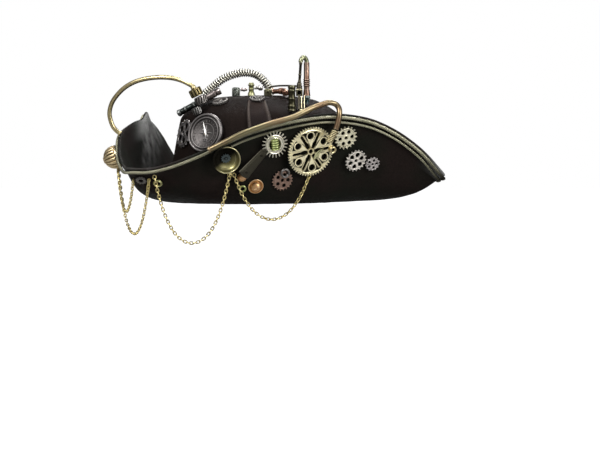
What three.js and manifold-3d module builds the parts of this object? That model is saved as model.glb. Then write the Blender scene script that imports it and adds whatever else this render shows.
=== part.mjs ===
// A three-cornered hat dressed with clock gears, tubes, a compass and hanging chains.
// Millimetres, +Z up. The wearer faces -Y and the wearer's left is +X.
// The origin is the middle of the head opening, at the height where the crown meets the brim.
import * as THREE from "three";
import { mergeVertices } from "three/addons/utils/BufferGeometryUtils.js";
import Module from "manifold-3d";

const wasm = await Module();
wasm.setup();

// Driving dimensions
const HEAD_HALF_WIDTH = 84;
const HEAD_HALF_LENGTH = 101;
const CROWN_WALL = 2.2;
const CROWN_SIDES = 28;
const BRIM_WALL = 2.4;
const FLAP_STEPS = 20;
const BACK_STEPS = 6;
const EDGE_CORD_RADIUS = 1.6;
const SECOND_CORD_RADIUS = 1.25;
const EDGE_CORD_DROP = 1.6;
const SECOND_CORD_DROP = 6.6;
const CORD_SIDES = 5;
const CHAIN_RADIUS = 1.7;
const CHAIN_STEP = 8.5;
const GAP = 0.35;
// The dressing on the crown is laid out square to this direction, turned towards the wearer's left.
const DRESSING_TURN = THREE.MathUtils.degToRad(42);

// Half of the brim, from the front corner back to the rear corner: the rim and the fold under it.
const SIDE_ROWS = [
  { edge: [0, -182, 33], fold: [0, -146, 12] },
  { edge: [22, -164, 34], fold: [26, -132, 10] },
  { edge: [52, -141, 47], fold: [52, -114, 7.5] },
  { edge: [80, -112, 65.5], fold: [74, -90, 6] },
  { edge: [102, -79, 76.5], fold: [90, -62, 6] },
  { edge: [122, -45, 82.3], fold: [101, -33, 6.5] },
  { edge: [141, -13, 79.3], fold: [110, -5, 5.5] },
  { edge: [156, 12, 68.3], fold: [120, 18, 5] },
  { edge: [168, 38, 49.5], fold: [131, 38, 5] },
  { edge: [176, 63, 25.5], fold: [144, 56, 9] },
];
// From the rear corner to the middle of the back.
const BACK_ROWS = [
  { edge: [176, 63, 25.5], fold: [144, 56, 9] },
  { edge: [158, 78, 25], fold: [122, 68, 4] },
  { edge: [132, 93, 34], fold: [98, 85, 3] },
  { edge: [98, 107, 47], fold: [70, 99, 3] },
  { edge: [52, 118, 60], fold: [36, 109, 3] },
  { edge: [0, 122, 65], fold: [0, 112, 3] },
];
// The right flap's rim is lower behind its middle and pinched up there into a small peak.
const SHOULDER = { along: 0.56, rise: -6.5, spread: 0.24 };
const PEAK = { along: 0.617, rise: 8.5, spread: 0.028 };
const SECTION_STOPS = [0, 0.16, 0.32, 0.47, 0.64, 0.82, 1];
const HEAD_EASE = 1.3;
const FOLD_REACH = 1.3;
const FOLD_SAG = 3;

// The crown's outer profile: height, and width as a share of the head opening.
const CROWN_ROWS = [
  { height: -1.2, share: 1.0 },
  { height: 25, share: 0.955 },
  { height: 50, share: 0.91 },
  { height: 70, share: 0.868 },
  { height: 80, share: 0.835 },
  { height: 88, share: 0.74 },
  { height: 93, share: 0.645 },
  { height: 97, share: 0.54 },
  { height: 99.5, share: 0.38 },
  { height: 100.6, share: 0.18 },
  { height: 100.8, share: 0 },
];

// Rows of the profile that the inner face passes over.
const SKIPPED_INSIDE = [1, 3, 9];

const hat = new THREE.Group();

const at = (x, y, z) => new THREE.Vector3(x, y, z);
const degrees = (angle) => THREE.MathUtils.degToRad(angle);

// A point of the crown's dressing: across the view, away from it, and up.
const dressed = (across, deep, height) =>
  at(across, deep, height).applyAxisAngle(at(0, 0, 1), DRESSING_TURN);

// Materials: colour, roughness and metalness of each finish.
const finish = (color, roughness, metalness) => () =>
  new THREE.MeshStandardMaterial({ color, roughness, metalness });
const CROWN_LEATHER = finish(0x2b2019, 0.75, 0);
const BRIM_LEATHER = finish(0x1d1d18, 0.7, 0);
const STRAP_LEATHER = finish(0x241b18, 0.65, 0);
const ANTIQUE_GOLD = finish(0x8a8158, 0.45, 0.8);
const PALE_GOLD = finish(0xcbbd84, 0.35, 1);
const CHAIN_GOLD = finish(0xa7934a, 0.35, 1);
const BRASS = finish(0xa98f5c, 0.4, 1);
const OLIVE_BRONZE = finish(0x5c5a2a, 0.5, 1);
const DARK_BRONZE = finish(0x3a3226, 0.5, 0.9);
const COPPER = finish(0x8f6552, 0.4, 1);
const PEWTER = finish(0x6f6863, 0.5, 0.9);
const SILVER = finish(0xb9b4ac, 0.35, 1);
const STEEL = finish(0x2b2f2c, 0.45, 0.9);

function add(name, geometry, material) {
  const mesh = new THREE.Mesh(geometry, material());
  mesh.name = name;
  hat.add(mesh);
  return mesh;
}

// A closed body through rings of points; an open row of rings is capped at both ends.
function loft(rings, closed) {
  const count = rings[0].length;
  const positions = rings.flat().flatMap((point) => [point.x, point.y, point.z]);
  const faces = [];
  const spans = closed ? rings.length : rings.length - 1;
  for (let ring = 0; ring < spans; ring++) {
    const next = (ring + 1) % rings.length;
    for (let side = 0; side < count; side++) {
      const a = ring * count + side;
      const b = ring * count + ((side + 1) % count);
      const c = next * count + ((side + 1) % count);
      const d = next * count + side;
      faces.push(a, b, c, a, c, d);
    }
  }
  if (!closed) {
    const last = (rings.length - 1) * count;
    for (let side = 1; side < count - 1; side++) {
      faces.push(0, side + 1, side, last, last + side, last + side + 1);
    }
  }
  return outward(positions, faces);
}

// Builds the geometry with its faces turned outwards, whichever way the rings ran.
function outward(positions, faces) {
  const corner = (index) => new THREE.Vector3().fromArray(positions, index * 3);
  let volume = 0;
  for (let face = 0; face < faces.length; face += 3) {
    const [a, b, c] = [0, 1, 2].map((offset) => corner(faces[face + offset]));
    volume += a.dot(b.cross(c));
  }
  if (volume < 0) faces.reverse();
  const geometry = new THREE.BufferGeometry();
  geometry.setAttribute("position", new THREE.Float32BufferAttribute(positions, 3));
  geometry.setIndex(faces);
  geometry.computeVertexNormals();
  return geometry;
}

const curveOf = (rows, column) =>
  new THREE.CatmullRomCurve3(rows.map((row) => at(...row[column])), false, "catmullrom", 0.5);
const SIDE = { edge: curveOf(SIDE_ROWS, "edge"), fold: curveOf(SIDE_ROWS, "fold") };
const BACK = { edge: curveOf(BACK_ROWS, "edge"), fold: curveOf(BACK_ROWS, "fold") };

// The middle of the brim's wall: out from the crown's base, round the fold and up to the rim.
function brimPoint(flap, along, up) {
  const edge = flap.edge.getPoint(along);
  const fold = flap.fold.getPoint(along);
  const angle = Math.atan2(fold.y / HEAD_HALF_LENGTH, fold.x / HEAD_HALF_WIDTH);
  const base = at(
    (HEAD_HALF_WIDTH + HEAD_EASE) * Math.cos(angle),
    (HEAD_HALF_LENGTH + HEAD_EASE) * Math.sin(angle),
    0,
  );
  const out = base.clone().lerp(fold, FOLD_REACH).setZ(fold.z - FOLD_SAG);
  const rise = fold.clone().lerp(edge, 0.3);
  rise.z += 0.04 * (edge.z - fold.z);
  return new THREE.CubicBezierCurve3(base, out, rise, edge).getPoint(up);
}

// A point of a side flap: side is +1 on the wearer's left and -1 on the right.
function flapPoint(side, along, up) {
  const point = brimPoint(SIDE, along, up);
  for (const bump of side < 0 ? [SHOULDER, PEAK] : []) {
    point.z += bump.rise * up ** 3 * Math.exp(-(((along - bump.along) / bump.spread) ** 2));
  }
  point.x *= side;
  return point;
}

function backPoint(side, along, up) {
  const point = brimPoint(BACK, along, up);
  point.x *= side;
  return point;
}

// Stations once round the brim: back along the left flap, over the back and forward on the right.
const stations = [];
for (let step = 0; step < FLAP_STEPS; step++) {
  stations.push((up) => flapPoint(1, step / FLAP_STEPS, up));
}
for (let step = 0; step < BACK_STEPS; step++) {
  stations.push((up) => backPoint(1, step / BACK_STEPS, up));
}
for (let step = BACK_STEPS; step > 0; step--) {
  stations.push((up) => backPoint(-1, step / BACK_STEPS, up));
}
for (let step = FLAP_STEPS; step > 0; step--) {
  stations.push((up) => flapPoint(-1, step / FLAP_STEPS, up));
}
const station = (index) => stations[(index + stations.length) % stations.length];

// The share of the section that lies a given length below the rim.
function shareBelowRim(index, length) {
  const nearRim = 0.98;
  const speed = station(index)(1).distanceTo(station(index)(nearRim)) / (1 - nearRim);
  return 1 - length / speed;
}

// The direction out of the felt's outer face at a station.
function feltNormal(index, up) {
  const reach = 0.02;
  const along = station(index + 1)(up).sub(station(index - 1)(up));
  const low = Math.max(up - reach, 0);
  const climb = station(index)(Math.min(low + 2 * reach, 1)).sub(station(index)(low));
  return along.cross(climb).normalize();
}

function brimGeometry() {
  const rings = stations.map((_, index) => {
    const outer = [];
    const inner = [];
    for (const up of SECTION_STOPS) {
      const normal = feltNormal(index, up).multiplyScalar(BRIM_WALL / 2);
      outer.push(station(index)(up).add(normal));
      inner.unshift(station(index)(up).sub(normal));
    }
    return [...outer, ...inner];
  });
  return loft(rings, true);
}

// A cord on the felt's outer face, a given length below the rim, from one station to another.
function rimCord(radius, drop, first, last) {
  const whole = last - first === stations.length;
  const centre = (index) => {
    const up = shareBelowRim(index, drop);
    const proud = BRIM_WALL / 2 + GAP + 0.45 + radius;
    return station(index)(up).addScaledVector(feltNormal(index, up), proud);
  };
  const rings = Array.from({ length: last - first + (whole ? 0 : 1) }, (_, step) => {
    const index = first + step;
    const ahead = centre(index + 1).sub(centre(index - 1)).normalize();
    const sideways = ahead.clone().cross(at(0, 0, 1)).normalize();
    const upwards = sideways.clone().cross(ahead);
    return Array.from({ length: CORD_SIDES }, (_, side) => {
      const angle = (side / CORD_SIDES) * Math.PI * 2;
      return centre(index)
        .addScaledVector(sideways, radius * Math.cos(angle))
        .addScaledVector(upwards, radius * Math.sin(angle));
    });
  });
  return loft(rings, whole);
}

// The crown's share of the head opening at a height, along straight facets between its rows.
function crownShare(height) {
  const upper = CROWN_ROWS.findIndex((row) => row.height >= height);
  const top = CROWN_ROWS[Math.max(upper, 1)];
  const low = CROWN_ROWS[Math.max(upper, 1) - 1];
  const part = (height - low.height) / (top.height - low.height);
  return low.share + part * (top.share - low.share);
}

// A point of the crown's outer face; around is measured from the front towards the left.
function crownPoint(around, height) {
  const share = crownShare(height);
  return at(
    HEAD_HALF_WIDTH * share * Math.sin(around),
    -HEAD_HALF_LENGTH * share * Math.cos(around),
    height,
  );
}

function crownGeometry() {
  const outer = CROWN_ROWS.map((row) => new THREE.Vector2(row.share * HEAD_HALF_WIDTH, row.height));
  const last = outer.length - 1;
  const lining = outer.map((point, index) => {
    const ahead = outer[Math.min(index + 1, last)].clone().sub(outer[Math.max(index - 1, 0)]);
    ahead.normalize();
    return point.clone().add(new THREE.Vector2(-ahead.y, ahead.x).multiplyScalar(CROWN_WALL));
  });
  lining[0].set(outer[0].x - CROWN_WALL, outer[0].y);
  lining[last].set(0, outer[last].y - CROWN_WALL);
  const inner = lining.filter((_, index) => !SKIPPED_INSIDE.includes(index));
  const profile = [...inner.reverse(), ...outer];
  return new THREE.LatheGeometry(profile, CROWN_SIDES)
    .rotateX(Math.PI / 2)
    .scale(1, HEAD_HALF_LENGTH / HEAD_HALF_WIDTH, 1);
}

// A frame whose z axis points out of the surface, from two directions that lie in it.
function surfaceFrame(origin, along, climb, side) {
  const outwards = along.clone().cross(climb).multiplyScalar(side).normalize();
  const across = along.clone().multiplyScalar(side).normalize();
  const upwards = outwards.clone().cross(across);
  return new THREE.Matrix4().makeBasis(across, upwards, outwards).setPosition(origin);
}

function flapFrame(side, along, up, halfSize) {
  const flapLength = 330;
  const flapHeight = 115;
  const shift = halfSize / flapLength;
  const lift = halfSize / flapHeight;
  const high = Math.min(up + lift, 1);
  const low = high - 2 * lift;
  const back = Math.max(along - shift, 0);
  return surfaceFrame(
    flapPoint(side, along, up),
    flapPoint(side, back + 2 * shift, up).sub(flapPoint(side, back, up)),
    flapPoint(side, along, high).sub(flapPoint(side, along, low)),
    side,
  );
}

function crownFrame(around, height, halfSize) {
  const swing = halfSize / 80;
  const low = Math.max(height - halfSize * 0.8, 0);
  const high = Math.min(height + halfSize * 0.8, 100);
  return surfaceFrame(
    crownPoint(around, height),
    crownPoint(around + swing, height).sub(crownPoint(around - swing, height)),
    crownPoint(around, high).sub(crownPoint(around, low)),
    1,
  );
}

const disc = (radius) => (point) => Math.hypot(point.x, point.y) < radius;
const slab = (halfLength, halfWidth) => (point) =>
  Math.abs(point.x) < halfLength && Math.abs(point.y) < halfWidth;

// The lift that carries a flat-backed piece clear of everything under its footprint.
function standOff(frame, footprint, carriers) {
  const splits = 12;
  const reach = 25;
  const toFrame = frame.clone().invert();
  let highest = -reach;
  for (const carrier of carriers) {
    carrier.updateWorldMatrix(true, false);
    const intoFrame = toFrame.clone().multiply(carrier.matrixWorld);
    const solid = carrier.geometry.index ? carrier.geometry.toNonIndexed() : carrier.geometry;
    const corners = solid.getAttribute("position");
    for (let face = 0; face < corners.count; face += 3) {
      const [a, b, c] = [0, 1, 2].map((offset) =>
        at(0, 0, 0).fromBufferAttribute(corners, face + offset).applyMatrix4(intoFrame),
      );
      for (let i = 0; i <= splits; i++) {
        for (let j = 0; j <= splits - i; j++) {
          const point = a
            .clone()
            .multiplyScalar((splits - i - j) / splits)
            .addScaledVector(b, i / splits)
            .addScaledVector(c, j / splits);
          if (footprint(point) && Math.abs(point.z) < reach) highest = Math.max(highest, point.z);
        }
      }
    }
  }
  return highest + GAP;
}

// Seats a mesh on its frame: swing tips it about the upright, spin turns it about its own axis.
function seat(mesh, frame, footprint, carriers, { swing = 0, spin = 0, extra = 0 } = {}) {
  const tipped = frame.clone().multiply(new THREE.Matrix4().makeRotationY(degrees(swing)));
  const lift = standOff(tipped, footprint, carriers) + extra;
  tipped
    .multiply(new THREE.Matrix4().makeTranslation(0, 0, lift))
    .multiply(new THREE.Matrix4().makeRotationZ(degrees(spin)));
  tipped.decompose(mesh.position, mesh.quaternion, mesh.scale);
  mesh.updateWorldMatrix(true, false);
  return mesh;
}

// Puts a mesh upright at a place of the dressing, square to its row.
function stand(mesh, across, deep, height) {
  mesh.position.copy(dressed(across, deep, height));
  mesh.rotation.z = DRESSING_TURN;
  return mesh;
}

// Points a mesh, made along +Z from its own origin, from one point towards another.
function aim(mesh, from, to) {
  mesh.position.copy(from);
  mesh.quaternion.setFromUnitVectors(at(0, 0, 1), to.clone().sub(from).normalize());
  return mesh;
}

function polygon(radius, sides) {
  const corners = Array.from({ length: sides }, (_, side) => {
    const angle = (side / sides) * Math.PI * 2;
    return new THREE.Vector2(radius * Math.cos(angle), radius * Math.sin(angle));
  });
  return new THREE.Shape(corners);
}

function tube(points, radius, sides, steps) {
  const path = new THREE.CatmullRomCurve3(points, false, "centripetal");
  return new THREE.ExtrudeGeometry(polygon(radius, sides), {
    steps,
    extrudePath: path,
    bevelEnabled: false,
  });
}

// A turned piece along +Z: rows of radius and height, from the axis back to the axis.
function turned(rows, sides) {
  const profile = rows.map(([radius, height]) => new THREE.Vector2(radius, height));
  return new THREE.LatheGeometry(profile, sides).rotateX(Math.PI / 2);
}

const rod = (radius, length, sides) =>
  turned([[0, 0], [radius, 0], [radius, length], [0, length]], sides);

// A turned piece with raised ribs between its two ends.
function ribbed(radius, ribHeight, length, ribs, sides) {
  const pitch = length / ribs;
  const rows = [[0, 0]];
  for (let rib = 0; rib < ribs; rib++) {
    rows.push([radius, rib * pitch], [radius + ribHeight, (rib + 0.5) * pitch]);
  }
  rows.push([radius, length], [0, length]);
  return turned(rows, sides);
}

// A sleeve whose flutes run along its length.
function fluted(radius, fluteDepth, length, flutes) {
  const corners = Array.from({ length: flutes * 2 }, (_, corner) => {
    const angle = (corner / (flutes * 2)) * Math.PI * 2;
    const reach = radius - (corner % 2) * fluteDepth;
    return new THREE.Vector2(reach * Math.cos(angle), reach * Math.sin(angle));
  });
  return new THREE.ExtrudeGeometry(new THREE.Shape(corners), { depth: length, bevelEnabled: false });
}

// A round ring of wire, lying on its back on the plane z = 0.
const wireRing = (radius, wire, sides) =>
  new THREE.TorusGeometry(radius, wire, 5, sides).translate(0, 0, wire);

// The outline of a gear; pointed teeth have one corner at the tip, blunt teeth have two.
function gearOutline(radius, toothHeight, teeth, pointed) {
  const root = radius - toothHeight;
  const corners = [];
  const put = (reach, angle) =>
    corners.push(new THREE.Vector2(reach * Math.cos(angle), reach * Math.sin(angle)));
  for (let tooth = 0; tooth < teeth; tooth++) {
    const pitch = (Math.PI * 2) / teeth;
    const start = tooth * pitch;
    put(root, start);
    if (pointed) {
      put(radius, start + pitch * 0.5);
    } else {
      put(radius, start + pitch * 0.2);
      put(radius, start + pitch * 0.45);
      put(root, start + pitch * 0.65);
    }
  }
  return new THREE.Shape(corners);
}

function cutRound(shape, x, y, radius) {
  const hole = new THREE.Path();
  hole.absarc(x, y, radius, 0, Math.PI * 2, true);
  shape.holes.push(hole);
}

// Round holes on a ring; a single hole at reach 0 is the bore.
function cutRing(shape, count, reach, radius, start = 0) {
  for (let hole = 0; hole < count; hole++) {
    const angle = degrees(start) + (hole / count) * Math.PI * 2;
    cutRound(shape, reach * Math.cos(angle), reach * Math.sin(angle), radius);
  }
}

// Openings between spokes, from an inner to an outer reach, with a share of the pitch left solid.
function cutWindows(shape, count, inner, outer, solid, start = 0) {
  const pitch = (Math.PI * 2) / count;
  for (let window = 0; window < count; window++) {
    const middle = degrees(start) + window * pitch;
    const corner = (reach, share) => {
      const angle = middle + share * pitch * (1 - solid) * 0.5;
      return new THREE.Vector2(reach * Math.cos(angle), reach * Math.sin(angle));
    };
    const corners = [corner(inner, 0), corner(outer * 0.86, 1), corner(outer, 0.4)];
    corners.push(corner(outer, -0.4), corner(outer * 0.86, -1));
    shape.holes.push(new THREE.Path(corners));
  }
}

// Straight radial slots.
function cutSlots(shape, count, inner, outer, width, start = 0) {
  for (let slot = 0; slot < count; slot++) {
    const angle = degrees(start) + (slot / count) * Math.PI * 2;
    const ahead = new THREE.Vector2(Math.cos(angle), Math.sin(angle));
    const aside = new THREE.Vector2(-ahead.y, ahead.x).multiplyScalar(width / 2);
    const end = (reach, turn) =>
      ahead.clone().multiplyScalar(reach).addScaledVector(aside, turn);
    shape.holes.push(
      new THREE.Path([end(inner, -1), end(inner, 1), end(outer, 1), end(outer, -1)]),
    );
  }
}

const plate = (shape, thickness) =>
  new THREE.ExtrudeGeometry(shape, { depth: thickness, bevelEnabled: false, curveSegments: 4 });

// Joins or cuts closed geometries.
function solidOf(geometry) {
  const bare = geometry.clone();
  bare.deleteAttribute("normal");
  bare.deleteAttribute("uv");
  const merged = mergeVertices(bare, 1e-4);
  return new wasm.Manifold(
    new wasm.Mesh({
      numProp: 3,
      vertProperties: merged.getAttribute("position").array,
      triVerts: new Uint32Array(merged.index.array),
    }),
  );
}

function joined(first, ...others) {
  const solid = others.reduce((whole, other) => whole.add(solidOf(other)), solidOf(first));
  const mesh = solid.getMesh();
  const geometry = new THREE.BufferGeometry();
  geometry.setAttribute("position", new THREE.Float32BufferAttribute(mesh.vertProperties, 3));
  geometry.setIndex([...mesh.triVerts]);
  geometry.computeVertexNormals();
  return geometry;
}

// The felt
const crown = add("crown", crownGeometry(), CROWN_LEATHER);
const brim = add("brim", brimGeometry(), BRIM_LEATHER);
const edgeCord = add(
  "edge_cord",
  rimCord(EDGE_CORD_RADIUS, EDGE_CORD_DROP, 0, stations.length),
  ANTIQUE_GOLD,
);
// The second cord leaves the front corner free: it runs from one flap round the back to the other.
const FREE_STATIONS = 6;
const secondCord = add(
  "second_cord",
  rimCord(SECOND_CORD_RADIUS, SECOND_CORD_DROP, FREE_STATIONS, stations.length - FREE_STATIONS),
  ANTIQUE_GOLD,
);

// The strap up the crown's front left, with a welt along each side
const STRAP_ROWS = [
  { height: 4, left: 56, right: 39 },
  { height: 25, left: 56, right: 39 },
  { height: 50, left: 56, right: 39 },
  { height: 70, left: 55.5, right: 38.6 },
  { height: 80, left: 54.3, right: 37.6 },
  { height: 88, left: 52.8, right: 36.3 },
  { height: 93, left: 51.8, right: 35.4 },
];
const STRAP_LIFT = 1.05;
const STRAP_SECTION = [
  { across: 0, proud: 0 },
  { across: 0, proud: 2.2 },
  { across: 0.16, proud: 2.2 },
  { across: 0.2, proud: 1.2 },
  { across: 0.8, proud: 1.2 },
  { across: 0.84, proud: 2.2 },
  { across: 1, proud: 2.2 },
  { across: 1, proud: 0 },
  { across: 0.67, proud: 0 },
  { across: 0.33, proud: 0 },
];

function strapGeometry() {
  const rings = STRAP_ROWS.map(({ height, left, right }) =>
    STRAP_SECTION.map(({ across, proud }) => {
      const around = degrees(right + (left - right) * across);
      const foot = crownPoint(around, height);
      const slope = crownPoint(around, Math.min(height + 4, 96)).sub(crownPoint(around, height - 4));
      const sideways = crownPoint(around + 0.02, height).sub(crownPoint(around - 0.02, height));
      return foot.addScaledVector(sideways.cross(slope).normalize(), proud + STRAP_LIFT);
    }),
  );
  return loft(rings, false);
}
const strap = add("crown_strap", strapGeometry(), STRAP_LEATHER);

// A pewter medallion with two holes, over the strap's upper end
function medallionShape() {
  const shape = new THREE.Shape();
  shape.absellipse(0, 0, 7, 5.6, 0, Math.PI * 2, false);
  cutRound(shape, -2.7, 0, 1.5);
  cutRound(shape, 2.7, 0, 1.5);
  return shape;
}
seat(
  add("strap_medallion", plate(medallionShape(), 1.6), PEWTER),
  crownFrame(degrees(43.4), 93.6, 3),
  disc(6.1),
  [crown, strap],
);

// The compass on the crown's front
const COMPASS_ROWS = [
  [0, 0], [18, 0], [19, 1.4], [19, 3.8], [17.4, 4.8], [16, 3.2], [14.2, 4.2], [12.8, 2.4], [0, 2.4],
];
const compassFrame = crownFrame(degrees(8.8), 64.2, 17);
const compass = seat(
  add("compass_case", turned(COMPASS_ROWS, 18), PEWTER),
  compassFrame,
  disc(19),
  [crown],
);
function needleShape() {
  return new THREE.Shape([at(0, -4.5, 0), at(1.5, 0, 0), at(0, 12, 0), at(-1.5, 0, 0)]);
}
seat(add("compass_needle", plate(needleShape(), 0.9), SILVER), compassFrame, disc(12), [compass], {
  spin: 20,
});

// A pierced pewter gear on the crown's right front, and a fluted winding crown above the compass
const sideGear = gearOutline(14, 1.8, 18, true);
cutRing(sideGear, 1, 0, 2);
cutWindows(sideGear, 5, 3.6, 10.2, 0.34);
seat(
  add("side_gear", plate(sideGear, 1.4), PEWTER),
  crownFrame(degrees(-15.1), 63.9, 11),
  disc(14),
  [crown],
);
seat(
  add("oval_gear", fluted(7.8, 0.8, 2.6, 12), PEWTER),
  crownFrame(degrees(6), 93.4, 3),
  disc(7.8),
  [crown],
);

// The dark barrel across the front shoulder
const barrelStart = dressed(-79.7, -40, 82.5);
const barrelEnd = dressed(-38.6, -42.5, 105);
aim(
  add("barrel", ribbed(3.1, 0.25, barrelStart.distanceTo(barrelEnd), 4, 10), STEEL),
  barrelStart,
  barrelEnd,
);

// The fluted hose end in front of the barrel, three sleeves in a line
const hoseTop = dressed(-63.1, -58.5, 106.5);
const hoseFoot = dressed(-52.5, -57, 85.4);
const hoseAxis = hoseFoot.clone().sub(hoseTop).normalize();
const HOSE_ROWS = [
  { name: "hose_cap", start: 0, length: 7.6, radius: 6.2, shift: [0, 0], material: OLIVE_BRONZE },
  { name: "hose_silver_sleeve", start: 8, length: 7.4, radius: 5.9, shift: [1.2, 0], material: SILVER },
  { name: "hose_steel_sleeve", start: 19.8, length: 7, radius: 4.6, shift: [-7.6, -2.6], material: STEEL },
];
for (const { name, start, length, radius, shift, material } of HOSE_ROWS) {
  const [across, deep] = shift;
  const from = hoseTop.clone().addScaledVector(hoseAxis, start).add(dressed(across, deep, 0));
  aim(add(name, fluted(radius, 0.8, length, 10), material), from, from.clone().add(hoseAxis));
}

// The thin gold loop from the right flap's rim over to the hose end
const LOOP_RADIUS = 2.2;
const LOOP_RISE = 1.7;
const loopFoot = flapPoint(-1, 0.325, 1).add(at(0, 0, LOOP_RISE));
const loopPoints = [
  loopFoot,
  dressed(-139.4, -32, 67.4),
  dressed(-142.6, -32, 72.2),
  dressed(-145.1, -32.5, 82.8),
  dressed(-143, -33.5, 92.3),
  dressed(-138, -36, 100),
  dressed(-130.1, -39, 107.6),
  dressed(-121.3, -42, 112.6),
  dressed(-111.6, -44.5, 115.6),
  dressed(-98.1, -48, 117.3),
  dressed(-84.6, -51, 116.7),
  dressed(-75, -54.5, 114.2),
  dressed(-68.2, -57.4, 111),
  hoseTop.clone().addScaledVector(hoseAxis, -2.4),
  hoseTop.clone().addScaledVector(hoseAxis, -GAP - 0.1),
];
add("loop_tube", tube(loopPoints, LOOP_RADIUS, 6, 24), BRASS);

// The coil spring that arches over the top, as the tube its turns fill
const SPRING_RADIUS = 4.2;
const springPoints = [
  dressed(-57.6, 6, 100.2),
  dressed(-54.4, 6, 103),
  dressed(-47.6, 6, 108.8),
  dressed(-38.8, 6, 115.8),
  dressed(-29.1, 6, 120.2),
  dressed(-16.5, 6, 122.6),
  dressed(-4.9, 6, 120.2),
  dressed(2.9, 6, 113.4),
  dressed(7.6, 6, 105.4),
  dressed(7.9, 6, 101.4),
];
add("spring_arch", tube(springPoints, SPRING_RADIUS, 8, 15), SILVER);

// The row of valve parts along the top of the crown
const ROW_DEEP = -18;
const TOP_CLEAR = 101.15;
stand(add("ribbed_knob", fluted(3.9, 0.6, 7.7, 9), STEEL), -24.6, ROW_DEEP, TOP_CLEAR - 0.7);
aim(
  add("cross_bar", rod(2, 6.6, 10), SILVER),
  dressed(-20.35, ROW_DEEP, 106.1),
  dressed(-10, ROW_DEEP, 106.1),
);
const VALVE_ROWS = [
  [0, 0], [3.4, 0], [3.4, 2], [2.4, 3], [2.4, 8], [3.3, 9], [3.3, 11], [1.6, 11.6], [0, 11.6],
];
stand(add("valve_stem", turned(VALVE_ROWS, 10), OLIVE_BRONZE), -9.9, ROW_DEEP, TOP_CLEAR);
const ARM_ROWS = [[0, 0], [1.4, 0], [1.4, 3.6], [2.6, 4.4], [2.6, 7.6], [1.8, 8.4], [0, 8.4]];
aim(
  add("valve_arm", turned(ARM_ROWS, 10), SILVER),
  dressed(-7.1, ROW_DEEP, 107.6),
  dressed(0, ROW_DEEP, 107.6),
);
stand(
  add("bronze_block", new THREE.BoxGeometry(7.6, 7, 5.4).translate(0, 0, 2.7), OLIVE_BRONZE),
  6.1,
  ROW_DEEP,
  TOP_CLEAR,
);
add(
  "copper_pipe",
  tube([dressed(10.5, -18, 104), dressed(12.6, -18.2, 104.1), dressed(18, -21.8, 104.4)], 2.6, 8, 4),
  COPPER,
);
const elbowPoints = [
  dressed(18.9, -22.4, 104.4),
  dressed(21.2, -24.4, 104.5),
  dressed(22.9, -28, 103.8),
  dressed(23.2, -31.2, 101.8),
];
add("copper_elbow", tube(elbowPoints, 3.1, 8, 5), COPPER);
const COLLAR_ROWS = [[0, 0], [2.7, 0], [3.4, 0.7], [3.4, 1.7], [2.7, 2.4], [0, 2.4]];
const collarFrame = crownFrame(Math.atan2(39 / HEAD_HALF_WIDTH, 8.5 / HEAD_HALF_LENGTH), 97.6, 4);
seat(add("pewter_collar", turned(COLLAR_ROWS, 12), PEWTER), collarFrame, disc(3.4), [crown]);

// The bronze cylinder on the front left shoulder
const CYLINDER_ROWS = [
  [0, 0], [3.7, 0], [3.7, 6], [3.3, 6.8], [3.3, 18.4], [3.7, 19.2], [3.7, 24], [2.6, 25.2], [0, 25.2],
];
stand(add("bronze_cylinder", turned(CYLINDER_ROWS, 10), OLIVE_BRONZE), 29.2, -64.9, 84.8);

// The square nut, held over the shoulder by two thin rods on a foot
const nutAt = { across: 36.2, deep: -44, height: 99.6 };
const nutSide = 6.4;
const nutShape = new THREE.Shape([
  at(-nutSide / 2, -nutSide / 2, 0),
  at(nutSide / 2, -nutSide / 2, 0),
  at(nutSide / 2, nutSide / 2, 0),
  at(-nutSide / 2, nutSide / 2, 0),
]);
cutRound(nutShape, 0, 0, 1.9);
const nutGeometry = plate(nutShape, nutSide).translate(0, 0, -nutSide / 2).rotateX(Math.PI / 2);
stand(
  add("square_nut", nutGeometry.translate(0, 0, nutSide / 2), BRASS),
  nutAt.across,
  nutAt.deep,
  nutAt.height,
);
const ROD_PLACES = [2.2, 4.8];
function rodsGeometry() {
  const lean = at(0, -12.6, -12.4);
  const rods = ROD_PLACES.map((across) =>
    tube([at(across, 0, 0), at(across, lean.y, lean.z)], 0.75, 6, 1),
  );
  const foot = new THREE.BoxGeometry(6, 1.8, 1.4).translate(3.5, lean.y, lean.z);
  return joined(foot, ...rods);
}
stand(add("thin_rods", rodsGeometry(), PALE_GOLD), nutAt.across, -47.2, nutAt.height - 0.7);
const FITTING_ROWS = [[0, 0], [3, 0], [3, 2.6], [2.3, 3.2], [2.3, 5.6], [1.4, 6.4], [0, 6.4]];
stand(
  add("left_fitting", turned(FITTING_ROWS, 10), DARK_BRONZE),
  nutAt.across,
  nutAt.deep,
  nutAt.height + nutSide + GAP,
);

// The upright inverted-U pipe
const thinLeg = { across: 36.4, deep: -44 };
const copperLeg = { across: 43.2, deep: -40.4 };
const BEND_HEIGHT = 131.6;
const thinFoot = dressed(thinLeg.across, thinLeg.deep, 113.1);
const thinTop = dressed(thinLeg.across + 1.2, thinLeg.deep, BEND_HEIGHT - GAP);
aim(
  add("pipe_thin_leg", rod(1.25, thinFoot.distanceTo(thinTop), 8), DARK_BRONZE),
  thinFoot,
  thinTop,
);
const overBend = (share, rise) =>
  dressed(
    THREE.MathUtils.lerp(thinLeg.across + 1.2, copperLeg.across, share),
    THREE.MathUtils.lerp(thinLeg.deep, copperLeg.deep, share),
    BEND_HEIGHT + rise,
  );
const bendPoints = [overBend(0, 0), overBend(0, 0.8), overBend(0.15, 3.4), overBend(0.5, 4.9)];
bendPoints.push(overBend(0.85, 3.4), overBend(1, 0.8), overBend(1, 0));
add("pipe_bend", tube(bendPoints, 2.1, 8, 9), ANTIQUE_GOLD);
const LEG_ROWS = [[0, 0], [2.7, 0], [2.7, 3.2]];
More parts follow.
